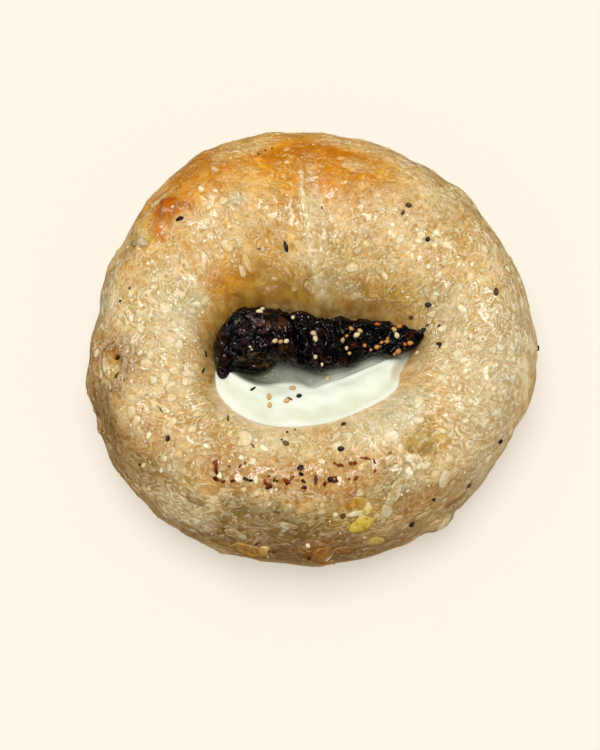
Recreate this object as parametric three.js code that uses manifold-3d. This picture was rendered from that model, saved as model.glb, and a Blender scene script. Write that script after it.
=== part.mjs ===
// A filled bagel: a hand-rolled, baked ring of dough, fresh cheese filling its hole, and a dried fig
// pressed into the cheese. Millimetres, +Z up. The origin is on the table under the bagel's middle,
// the fig's stem end lies towards -X, and the best-browned side of the ring is towards +Y.
import * as THREE from "three";
import { ParametricGeometry } from "three/addons/geometries/ParametricGeometry.js";
import { mergeVertices } from "three/addons/utils/BufferGeometryUtils.js";
import Module from "manifold-3d";

const wasm = await Module();
wasm.setup();

const TURN = 2 * Math.PI;
const CLEARANCE = 0.35; // between one food and the next

// ---------- Driving dimensions ----------

// Lists round the ring hold one value for every 30 degrees, counted from +X towards +Y. A section
// place runs from 0 at the hole's waist over 1 at the crest and 2 at the outer waist to the flat
// foot, between 3 and 4, and back to the hole's waist at 5.
const RING = {
  outerRadius: [54.2, 52.8, 53.3, 54.3, 56.3, 53.5, 54.1, 56.3, 55.8, 54.1, 53.8, 53.1],
  crestHeight: [29.5, 31, 34, 35.5, 34.5, 33, 32, 31, 30, 29.5, 29.5, 29.5],
  crestPlace: 0.47, // share of the way from the hole's wall to the outside
  holeMiddle: [1.3, -9.3],
  holeHalf: [24.6, 13.7],
  holeStretch: [0.79, 1.0, 0.98, 0.91, 1.17, 1.12, 0.98, 1.05, 1.08, 0.93, 0.79, 0.79],
  innerWaist: 19, // height at which the hole is narrowest
  outerWaist: 14, // height at which the ring is widest
  footOuter: 0.8, // the flat foot runs between these two shares of the ring's width
  footInner: 0.12,
};
const RING_STEPS = 120;
const SECTION_STEPS = [8, 12, 5, 1, 4]; // in each arc of the section

// Hand-rolled unevenness: two waves across the dough, each with its size and wave length.
const UNEVEN = [
  { size: 0.35, length: 26 },
  { size: 0.2, length: 12 },
];

// Lumps and dents that show from a step away: ring angle in degrees, section place, reach and rise.
const DOUGH_LUMPS = [
  { at: [138, 1.38], reach: 6, rise: 2.0 }, // large browned blister
  { at: [146, 1.52], reach: 4.5, rise: 1.2 }, // its smaller neighbour
  { at: [157, 1.6], reach: 6, rise: -1.3 }, // nick where the rolled end was tucked in
  { at: [167, 1.2], reach: 7, rise: 0.8 },
  { at: [173, 1.8], reach: 8, rise: -0.6 },
  { at: [189, 1.42], reach: 6.5, rise: -1.8 }, // burst pocket on the side
  { at: [193, 1.8], reach: 9, rise: 0.9 },
  { at: [210, 1.8], reach: 8, rise: -0.6 },
  { at: [255, 1.76], reach: 5.5, rise: 1.0 }, // onion piece under the skin
  { at: [271, 1.74], reach: 6, rise: 1.1 }, // onion piece under the skin
  { at: [293, 1.9], reach: 6.5, rise: -0.9 },
  { at: [304, 2.1], reach: 5.5, rise: 1.9 }, // torn skirt of skin
  { at: [314, 1.9], reach: 7, rise: -0.8 },
  { at: [314, 1.0], reach: 6, rise: -0.8 }, // sunken onion piece
  { at: [345, 1.8], reach: 9, rise: 1.1 },
  { at: [45, 1.8], reach: 7, rise: 1.0 },
  { at: [62, 1.8], reach: 8, rise: -0.5 },
];

// The seam where the rope of dough was joined crosses the ring from the outside to the hole.
const SEAM = { angle: 92, sway: 4, halfWidth: 3, depth: 0.6 };

// Toppings on the dough: ring angle, section place, heading in degrees, and half sizes.
const SEED = { poppy: [0.8, 0.6, 0.55], sesame: [1.3, 0.8, 0.5], rod: [1.5, 0.6, 0.5] };
const DOUGH_TOPPINGS = [
  { at: [103, 0.72], heading: 100, half: SEED.rod },
  { at: [58, 1.14], heading: 40, half: SEED.sesame },
  { at: [48, 1.0], heading: 60, half: SEED.poppy },
  { at: [16, 1.26], heading: 80, half: SEED.sesame },
  { at: [36, 0.54], heading: 10, half: SEED.poppy },
  { at: [41, 0.38], heading: 30, half: SEED.poppy },
  { at: [32, 0.32], heading: 20, half: SEED.rod },
  { at: [9, 0.58], heading: 150, half: SEED.rod },
  { at: [358, 1.92], heading: 90, half: SEED.poppy },
  { at: [219, 1.14], heading: 110, half: SEED.poppy },
  { at: [220, 1.52], heading: 40, half: SEED.sesame },
  { at: [283, 0.42], heading: 80, half: SEED.poppy },
  { at: [280, 0.76], heading: 0, half: SEED.poppy },
  { at: [264, 0.92], heading: 120, half: SEED.rod },
  { at: [280, 1.06], heading: 20, half: SEED.poppy },
  { at: [251, 1.18], heading: 70, half: SEED.sesame },
  { at: [279, 1.4], heading: 50, half: SEED.poppy },
  { at: [296, 1.7], heading: 45, half: SEED.poppy },
  { at: [304, 1.56], heading: 30, half: SEED.poppy },
  { at: [315, 1.8], heading: 30, half: SEED.poppy },
  { at: [329, 1.68], heading: 60, half: SEED.poppy },
  { at: [281, 1.46], heading: 25, half: [3.6, 2.1, 1.1] }, // garlic chip
  { at: [287, 1.36], heading: 15, half: [2.6, 1.3, 0.8] }, // salt flake
  { at: [272, 1.38], heading: 10, half: [1.2, 0.9, 0.6] },
];

const CHEESE = {
  foot: 0.6, // its underside is this far above the table
  wallGap: 0.5, // measured towards the hole's middle, so that slanted walls keep the clearance
  level: 22.2,
  bankRise: 1.9, // the bank that was smeared along the hole's near side
  bankHalfWidth: 5.5,
  bank: [[-19.5, -11.5], [-11, -18], [1, -18.2], [12, -14.5], [21, -8.5]],
  troughDrop: 1.9, // shadowed hollow between the bank and the fig
  trough: [[-9, -11.5], [2, -12], [10, -9.5]],
  troughHalfWidth: 3.6,
  roundSteps: 48,
  wallSteps: 7,
  topSteps: 10,
  settle: 0.2, // share of the way inward over which the top leaves the wall's level
};
const CHEESE_SEEDS = [
  { at: [-13.2, -13.2], heading: 35, half: SEED.rod },
  { at: [-6.3, -14.1], heading: 20, half: SEED.sesame },
  { at: [-4.4, -15.9], heading: 40, half: SEED.poppy },
  { at: [-7.9, -16.9], heading: -30, half: SEED.sesame },
  { at: [-11.5, -16.6], heading: 95, half: SEED.sesame },
];

// The fig: at each place along X, the Y of its far and near sides, and its top and underside.
const FIG = {
  x: [-23.4, -22.4, -20, -15, -9, -4, 0.5, 5, 9.5, 13, 17, 21, 24.2, 25.8],
  far: [-2.4, 1.2, 4.2, 5.5, 5.3, 4.0, 3.1, 2.6, 2.4, 2.6, 1.9, 1.0, 0.1, -0.9],
  near: [-7.4, -8.8, -9.5, -8.8, -7.4, -9.2, -10.6, -9.7, -9.2, -7.4, -7.0, -7.0, -5.9, -4.1],
  top: [25.6, 27.8, 29.6, 30.4, 30.0, 28.8, 28.6, 28.0, 27.6, 27.4, 27.4, 27.6, 27.8, 27.8],
  under: [24.0, 22.2, 20.9, 20.5, 20.4, 20.5, 20.4, 20.6, 21.0, 21.6, 22.4, 23.8, 25.2, 26.4],
  steps: 44,
  round: 20,
  boxiness: 0.8, // under 1 fills the corners of the section out
  closing: 0.3, // the smaller, the blunter the ends
};
// Its dried skin lies in folds across it, which slant from the far side's middle to the near side.
const FIG_FOLDS = { depth: 0.4, length: 4.4, slant: 0.4 };
const FIG_STEM = { at: [-21.0, -8.9, 23.4], half: [2.1, 3.2, 2.0], heading: -14 };
const FIG_FLAP = { at: [-14.0, -7.6, 22.9], half: [5.6, 2.7, 1.7], heading: 8 };
const FIG_SEED_HALF = [0.75, 0.6, 0.55];
const FIG_SEEDS = { // scattered over the cut, open end
  count: 22, fromX: 5, toX: 24, startAngle: 40, endAngle: 140,
};
const SEED_DETAIL = 0; // splits of an icosahedron's faces
const LIMB_DETAIL = 1;

// ---------- Small helpers ----------

// Smooth periodic curve through values spaced evenly round the ring.
function round(values, angle) {
  const n = values.length;
  const place = ((((angle / TURN) * n) % n) + n) % n;
  const i = Math.floor(place);
  const f = place - i;
  const [a, b, c, d] = [-1, 0, 1, 2].map((k) => values[(i + k + n) % n]);
  return b + 0.5 * f * (c - a + f * (2 * a - 5 * b + 4 * c - d + f * (3 * (b - c) + d - a)));
}

// Smooth curve through values at the given places, level beyond the last ones.
function through(places, values, x) {
  const last = places.length - 1;
  const clamped = Math.min(Math.max(x, places[0]), places[last]);
  let i = 0;
  while (i < last - 1 && clamped > places[i + 1]) i++;
  const slope = (k) => {
    const [a, b] = [Math.max(0, k - 1), Math.min(last, k + 1)];
    return (values[b] - values[a]) / (places[b] - places[a]);
  };
  const span = places[i + 1] - places[i];
  const f = (clamped - places[i]) / span;
  const g = 1 - f;
  const ends = values[i] * (1 + 2 * f) * g * g + values[i + 1] * (1 + 2 * g) * f * f;
  return ends + span * f * g * (slope(i) * g - slope(i + 1) * f);
}

const bump = (distance) => (distance < 1 ? (1 - distance * distance) ** 2 : 0);
const mix = (a, b, share) => a + (b - a) * share;

// Distance in plan from a point to a path of straight stretches.
function pathDistance(path, x, y) {
  let nearest = Infinity;
  for (let i = 0; i + 1 < path.length; i++) {
    const [ax, ay] = path[i];
    const [dx, dy] = [path[i + 1][0] - ax, path[i + 1][1] - ay];
    const t = Math.min(1, Math.max(0, ((x - ax) * dx + (y - ay) * dy) / (dx * dx + dy * dy)));
    nearest = Math.min(nearest, Math.hypot(x - ax - t * dx, y - ay - t * dy));
  }
  return nearest;
}

// The sequence of a small seeded generator, so that scattered things are the same in every run.
function draws(seed) {
  let state = seed;
  return () => {
    state = (state * 1664525 + 1013904223) % 4294967296;
    return state / 4294967296;
  };
}

// A closed three.js geometry as a solid that can be cut and joined.
function solidOf(geometry) {
  const plain = geometry.clone();
  plain.deleteAttribute("normal");
  plain.deleteAttribute("uv");
  const merged = mergeVertices(plain, 1e-3);
  const index = merged.index.array;
  const kept = [];
  for (let i = 0; i < index.length; i += 3) {
    const [a, b, c] = [index[i], index[i + 1], index[i + 2]];
    if (a !== b && b !== c && c !== a) kept.push(a, b, c);
  }
  const solid = (triangles) =>
    new wasm.Manifold(
      new wasm.Mesh({
        numProp: 3,
        vertProperties: new Float32Array(merged.attributes.position.array),
        triVerts: new Uint32Array(triangles),
      }),
    );
  const made = solid(kept);
  return made.volume() > 0 ? made : solid(kept.reverse());
}

function geometryOf(solid) {
  const mesh = solid.getMesh();
  const geometry = new THREE.BufferGeometry();
  geometry.setAttribute("position", new THREE.BufferAttribute(new Float32Array(mesh.vertProperties), 3));
  geometry.setIndex(new THREE.BufferAttribute(new Uint32Array(mesh.triVerts), 1));
  geometry.computeVertexNormals();
  return geometry;
}

// A small ellipsoid that lies on a surface: its long side turned to heading, its short side along up.
function pebble(at, up, heading, half, detail = SEED_DETAIL) {
  const geometry = new THREE.IcosahedronGeometry(1, detail);
  geometry.scale(...half);
  geometry.rotateZ(THREE.MathUtils.degToRad(heading));
  geometry.applyQuaternion(
    new THREE.Quaternion().setFromUnitVectors(new THREE.Vector3(0, 0, 1), up.clone().normalize()),
  );
  geometry.translate(at.x, at.y, at.z);
  return solidOf(geometry);
}

// ---------- Dough ring ----------

// Share of the ring's width, counted from the hole, and height at a section place.
function section(place, crest) {
  const { crestPlace: c, innerWaist, outerWaist, footOuter, footInner } = RING;
  const arc = Math.min(4, Math.floor(place));
  const f = ((place - arc) * Math.PI) / 2;
  if (arc === 0) return [c - c * Math.cos(f), mix(innerWaist, crest, Math.sin(f))];
  if (arc === 1) return [c + (1 - c) * Math.sin(f), mix(outerWaist, crest, Math.cos(f))];
  if (arc === 2) return [mix(footOuter, 1, Math.cos(f)), outerWaist * (1 - Math.sin(f))];
  if (arc === 3) return [mix(footOuter, footInner, place - arc), 0];
  return [footInner * (1 - Math.sin(f)), innerWaist * (1 - Math.cos(f))];
}

function holeEdge(angle) {
  const stretch = round(RING.holeStretch, angle);
  return [
    RING.holeMiddle[0] + RING.holeHalf[0] * stretch * Math.cos(angle),
    RING.holeMiddle[1] + RING.holeHalf[1] * stretch * Math.sin(angle),
  ];
}

// The ring before its lumps.
function smoothRing(angle, place) {
  const [share, z] = section(place, round(RING.crestHeight, angle));
  const outer = round(RING.outerRadius, angle);
  const [hx, hy] = holeEdge(angle);
  return new THREE.Vector3(
    mix(hx, outer * Math.cos(angle), share),
    mix(hy, outer * Math.sin(angle), share),
    z,
  );
}

function ringNormal(angle, place) {
  const step = 1e-3;
  const along = smoothRing(angle + step, place).sub(smoothRing(angle - step, place));
  const across = smoothRing(angle, place + step).sub(smoothRing(angle, place - step));
  return across.cross(along).normalize();
}

const lumps = DOUGH_LUMPS.map(({ at: [degrees, place], reach, rise }) => ({
  middle: smoothRing(THREE.MathUtils.degToRad(degrees), place),
  reach,
  rise,
}));

// How far the dough's skin stands out from the smooth ring. It is nil on the foot and in the hole.
function relief(angle, place, point) {
  const fade =
    THREE.MathUtils.smoothstep(place, 0.3, 0.6) * (1 - THREE.MathUtils.smoothstep(place, 2.3, 2.9));
  let out = 0;
  for (const { size, length } of UNEVEN) {
    const k = TURN / length;
    out += size * Math.sin(k * point.x + 1) * Math.sin(k * point.y + 2 + 0.3 * k * point.z);
  }
  for (const { middle, reach, rise } of lumps) out += rise * bump(point.distanceTo(middle) / reach);
  const seamAngle = THREE.MathUtils.degToRad(SEAM.angle + SEAM.sway * Math.sin(place * 2.6 - 1));
  const fromSeam = Math.abs(angle - seamAngle) * Math.hypot(point.x, point.y);
  out -= SEAM.depth * bump(fromSeam / SEAM.halfWidth);
  return out * fade;
}

function ringSkin(angle, place) {
  const point = smoothRing(angle, place);
  return point.addScaledVector(ringNormal(angle, place), relief(angle, place, point));
}

// Section place of the k-th step, with each arc divided as SECTION_STEPS says.
function sectionPlace(k) {
  let left = k;
  for (const [arc, steps] of SECTION_STEPS.entries()) {
    if (left <= steps) return arc + left / steps;
    left -= steps;
  }
  return 5;
}

function doughRing() {
  const sectionSteps = SECTION_STEPS.reduce((a, b) => a + b);
  const skin = (u, v, target) => {
    const place = sectionPlace(Math.round(v * sectionSteps)) % 5;
    target.copy(ringSkin((u % 1) * TURN, place));
  };
  const ring = solidOf(new ParametricGeometry(skin, RING_STEPS, sectionSteps));
  const toppings = DOUGH_TOPPINGS.map(({ at: [degrees, place], heading, half }) => {
    const angle = THREE.MathUtils.degToRad(degrees);
    return pebble(ringSkin(angle, place), ringNormal(angle, place), heading, half);
  });
  // The fig's tip lies pressed into the dough.
  return wasm.Manifold.union([ring, ...toppings]).subtract(figBody(CLEARANCE));
}

// ---------- Fig ----------

// The fig's skin, grown by a margin all round.
function figSkin(share, turn, grown) {
  const first = FIG.x[0] - grown;
  const last = FIG.x.at(-1) + grown;
  // Steps crowd towards the ends, where the form closes.
  const x = mix(first, last, (1 - Math.cos(Math.PI * share)) / 2);
  const read = (values) => through(FIG.x, values, x);
  const [far, near, top, under] = [FIG.far, FIG.near, FIG.top, FIG.under].map(read);
  const cosine = Math.cos(turn);
  const sine = Math.sin(turn);
  const full = (value) => Math.sign(value) * Math.abs(value) ** FIG.boxiness;
  const closing = Math.sin(Math.PI * share) ** FIG.closing;
  // The folds fade out on the underside and at both ends.
  const fold = Math.sin((TURN * (x - FIG_FOLDS.slant * cosine ** 3)) / FIG_FOLDS.length);
  const out = grown + FIG_FOLDS.depth * fold * Math.max(0, sine) * Math.sin(Math.PI * share);
  return new THREE.Vector3(
    x,
    (far + near) / 2 + ((far - near) / 2 + out) * closing * full(cosine),
    (top + under) / 2 + ((top - under) / 2 + out) * closing * full(sine),
  );
}

function figBody(grown = 0) {
  const skin = (u, v, target) => target.copy(figSkin(u, (v % 1) * TURN, grown));
  const body = solidOf(new ParametricGeometry(skin, FIG.steps, FIG.round));
  const up = new THREE.Vector3(0, 0, 1);
  const limbs = [FIG_STEM, FIG_FLAP].map(({ at, half, heading }) =>
    pebble(new THREE.Vector3(...at), up, heading, half.map((h) => h + grown), LIMB_DETAIL),
  );
  return wasm.Manifold.union([body, ...limbs]);
}

function fig() {
  const draw = draws(7);
  const seeds = [];
  const { count, fromX, toX, startAngle, endAngle } = FIG_SEEDS;
  for (let i = 0; i < count; i++) {
    const x = mix(fromX, toX, (i + draw()) / count);
    const share = Math.acos(1 - (2 * (x - FIG.x[0])) / (FIG.x.at(-1) - FIG.x[0])) / Math.PI;
    const turn = THREE.MathUtils.degToRad(mix(startAngle, endAngle, draw()));
    const at = figSkin(share, turn, 0);
    const out = new THREE.Vector3(0, Math.cos(turn), Math.sin(turn));
    seeds.push(pebble(at, out, draw() * 180, FIG_SEED_HALF));
  }
  return wasm.Manifold.union([figBody(), ...seeds]);
}

// ---------- Cheese ----------

// Height of the smeared cheese at a place in plan.
function cheeseTop(x, y) {
  const bank = CHEESE.bankRise * bump(pathDistance(CHEESE.bank, x, y) / CHEESE.bankHalfWidth);
  const trough = CHEESE.troughDrop * bump(pathDistance(CHEESE.trough, x, y) / CHEESE.troughHalfWidth);
  return CHEESE.level + bank - trough;
}

// The hole's wall at a section place, drawn in towards the hole's middle by the clearance.
function insideWall(angle, place) {
  const wall = smoothRing(angle, place);
  const [mx, my] = RING.holeMiddle;
  const reach = Math.hypot(wall.x - mx, wall.y - my);
  const share = 1 - CHEESE.wallGap / reach;
  return new THREE.Vector3(mix(mx, wall.x, share), mix(my, wall.y, share), wall.z);
}

function cheesePlug() {
  const [mx, my] = RING.holeMiddle;
  const { wallSteps, topSteps } = CHEESE;
  // Section places where the cheese's underside and its top meet the dough.
  const lowest = 4 + (2 / Math.PI) * Math.acos(1 - CHEESE.foot / RING.innerWaist);
  const rimPlace = (angle) => {
    const crest = round(RING.crestHeight, angle);
    const rise = (CHEESE.level - RING.innerWaist) / (crest - RING.innerWaist);
    return (2 / Math.PI) * Math.asin(rise);
  };
  const skin = (u, v, target) => {
    const angle = (u % 1) * TURN;
    const k = Math.round(v * (1 + wallSteps + topSteps));
    if (k === 0) {
      target.set(mx, my, CHEESE.foot);
      return;
    }
    const climb = Math.min(1, (k - 1) / wallSteps);
    const climbed = mix(lowest, 5 + rimPlace(angle), climb) % 5;
    const wall = insideWall(angle, climbed);
    if (k - 1 <= wallSteps) {
      target.copy(wall);
      return;
    }
    const inward = (k - 1 - wallSteps) / topSteps;
    const x = mix(wall.x, mx, inward);
    const y = mix(wall.y, my, inward);
    const settled = Math.min(1, inward / CHEESE.settle);
    target.set(x, y, mix(wall.z, cheeseTop(x, y), settled));
  };
  const plug = solidOf(new ParametricGeometry(skin, CHEESE.roundSteps, 1 + wallSteps + topSteps));
  const up = new THREE.Vector3(0, 0, 1);
  const seeds = CHEESE_SEEDS.map(({ at: [x, y], heading, half }) =>
    pebble(new THREE.Vector3(x, y, cheeseTop(x, y)), up, heading, half),
  );
  return wasm.Manifold.union([plug, ...seeds]).subtract(figBody(CLEARANCE));
}

// ---------- The part ----------

function piece(name, solid, colour, roughness) {
  const material = new THREE.MeshStandardMaterial({ color: colour, roughness, metalness: 0 });
  const mesh = new THREE.Mesh(geometryOf(solid), material);
  mesh.name = name;
  return mesh;
}

const bagel = new THREE.Group();
bagel.add(
  piece("dough_ring", doughRing(), 0xd2ac70, 0.5),
  piece("cheese", cheesePlug(), 0xe9ecd6, 0.4),
  piece("fig", fig(), 0x2a1512, 0.3),
);

export default bagel;
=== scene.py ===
"""Looks of a filled bagel: blistered crust, soft cheese, a sticky dried fig, seeds and a studio.

Shapes are worked out in millimetres, in the frame's axes, and turned to metres when they are done.
"""
import math
import random

import bmesh
import bpy
import numpy as np
from mathutils import Matrix, Vector, noise
from mathutils.bvhtree import BVHTree


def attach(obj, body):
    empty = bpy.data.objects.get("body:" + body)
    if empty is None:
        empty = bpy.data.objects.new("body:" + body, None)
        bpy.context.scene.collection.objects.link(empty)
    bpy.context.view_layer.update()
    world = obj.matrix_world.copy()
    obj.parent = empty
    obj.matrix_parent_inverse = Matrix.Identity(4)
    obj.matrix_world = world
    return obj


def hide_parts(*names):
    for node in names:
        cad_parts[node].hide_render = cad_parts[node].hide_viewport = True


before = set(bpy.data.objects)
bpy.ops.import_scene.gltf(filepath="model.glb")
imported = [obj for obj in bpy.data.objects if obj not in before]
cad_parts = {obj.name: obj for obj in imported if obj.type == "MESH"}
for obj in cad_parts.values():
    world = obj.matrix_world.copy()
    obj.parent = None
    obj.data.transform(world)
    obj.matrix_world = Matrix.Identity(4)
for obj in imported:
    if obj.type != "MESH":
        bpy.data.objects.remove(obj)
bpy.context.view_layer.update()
MM = 0.001
NOISE_SEED = 1  # without it the noise vectors differ from run to run
noise.seed_set(NOISE_SEED)

# ---------------------------------------------------------------- driving sizes, in millimetres

# Lists round the ring hold one value for every 30 degrees, counted from +X towards +Y. A section
# place runs from 0 at the hole's waist over 1 at the crest and 2 at the outer waist to the flat
# foot, between 3 and 4, and back to the hole's waist at 5.
OUTER_RADIUS = [54.2, 52.8, 53.3, 54.3, 56.3, 53.5, 54.1, 56.3, 55.8, 54.1, 53.8, 53.1]
CREST_HEIGHT = [29.5, 31, 34, 35.5, 34.5, 33, 32, 31, 30, 29.5, 29.5, 29.5]
CREST_PLACE = 0.47
HOLE_MIDDLE = (1.3, -9.3)
HOLE_HALF = (24.6, 13.7)
HOLE_STRETCH = [0.79, 1.0, 0.98, 0.91, 1.17, 1.12, 0.98, 1.05, 1.08, 0.93, 0.79, 0.79]
INNER_WAIST = 19
OUTER_WAIST = 14
FOOT_OUTER = 0.8
FOOT_INNER = 0.12

CRUST_ROUND_STEPS = 700
CRUST_SECTION_STEPS = [42, 60, 26, 3, 8]

UNEVEN = [(0.35, 26), (0.2, 12)]  # size and wave length

# Ring angle in degrees, section place, reach and rise of what stands out of the dough or into it.
LUMPS = [
    (138, 1.40, 7, 0.9), (146, 1.52, 4.5, 1.2), (157, 1.6, 6, -1.3), (167, 1.2, 7, 0.8),
    (173, 1.8, 8, -0.6), (189, 1.42, 6.5, -1.8), (193, 1.8, 9, 0.9), (210, 1.8, 8, -0.6),
    (255, 1.76, 5.5, 1.0), (271, 1.74, 6, 1.1), (293, 1.9, 6.5, -0.9), (304, 2.1, 5.5, 1.4),
    (314, 1.9, 7, -0.8), (314, 1.0, 6, -0.8), (345, 1.8, 9, 1.1), (45, 1.8, 7, 1.0), (62, 1.8, 8, -0.5),
]
# Small lobes: the burst pocket's lips, and puckers round the onion pieces.
SMALL_LUMPS = [
    (152, 1.42, 2.2, 0.7), (252, 1.70, 2.0, 0.5), (259, 1.78, 2.0, -0.6), (268, 1.70, 1.8, 0.5),
    (275, 1.76, 1.8, -0.5), (302, 1.96, 1.8, 0.6), (307, 2.04, 1.9, 0.7), (310, 0.94, 2.0, 0.5),
    (318, 1.08, 2.2, 0.5), (309, 1.22, 2.6, 0.7), (300, 1.30, 2.2, 0.5),
]
# The browned blister: steeper domes of drawn skin.
DOMES = [
    (135.5, 1.27, 3.9, 1.8), (132.6, 1.22, 1.8, 0.6), (138.2, 1.30, 1.7, 0.6), (136.0, 1.38, 2.0, 0.5),
    (143.8, 1.29, 2.9, 1.3), (144.8, 1.23, 1.4, 0.4), (139.6, 1.64, 2.2, 0.8), (143.0, 1.62, 2.4, 0.9),
    (146.4, 1.58, 2.0, 0.7),
]
# The burst pocket: ring angle and section place, half sizes in X, Y and Z, and its relief.
POCKET = (190, 1.42)
POCKET_HALF = (2.6, 4.2, 3.0)
POCKET_DEPTH = 1.2
POCKET_LIP = 0.6
# The pressed seam: its ring angle at each section place, and the groove and lips beside it.
SEAM_PLACE = [0.2, 0.45, 0.66, 0.86, 1.15, 1.6, 2.2]
SEAM_ANGLE = [81, 88, 92, 93, 94.5, 93, 91]
SEAM_PARTS = [(-2.2, 2.4, -0.5), (0.1, 0.75, 0.42), (2.8, 2.0, 0.3)]  # offset, half width, rise

# ---------------------------------------------------------------- tones, as sRGB

STRAW = (236, 196, 124)
PALE = (244, 230, 190)
CREAM_SKIN = (252, 242, 206)
GREY_CREAM = (240, 228, 196)
GOLD = (240, 167, 8)
ORANGE = (220, 136, 0)
HONEY = (238, 188, 84)
PEACH = (206, 152, 58)
EDGE_GLOW = (250, 214, 146)
RIM_BROWN = (176, 118, 0)
TAN = (186, 142, 76)
UMBER = (132, 92, 34)
GREY_OLIVE = (150, 126, 70)
GREY_PALE = (204, 190, 152)
AMBER = (182, 112, 0)
EMBER = (216, 116, 0)
OLIVE_GOLD = (200, 158, 50)
# How deep a tone is: deeper ones take less of the pale bloom.
DEPTH = {EMBER: 1, GOLD: 1, ORANGE: 1, RIM_BROWN: 1, AMBER: 1, UMBER: 1, TAN: 0.8, GREY_OLIVE: 0.8,
         OLIVE_GOLD: 0.7, PEACH: 0.7, HONEY: 0.4}

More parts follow.
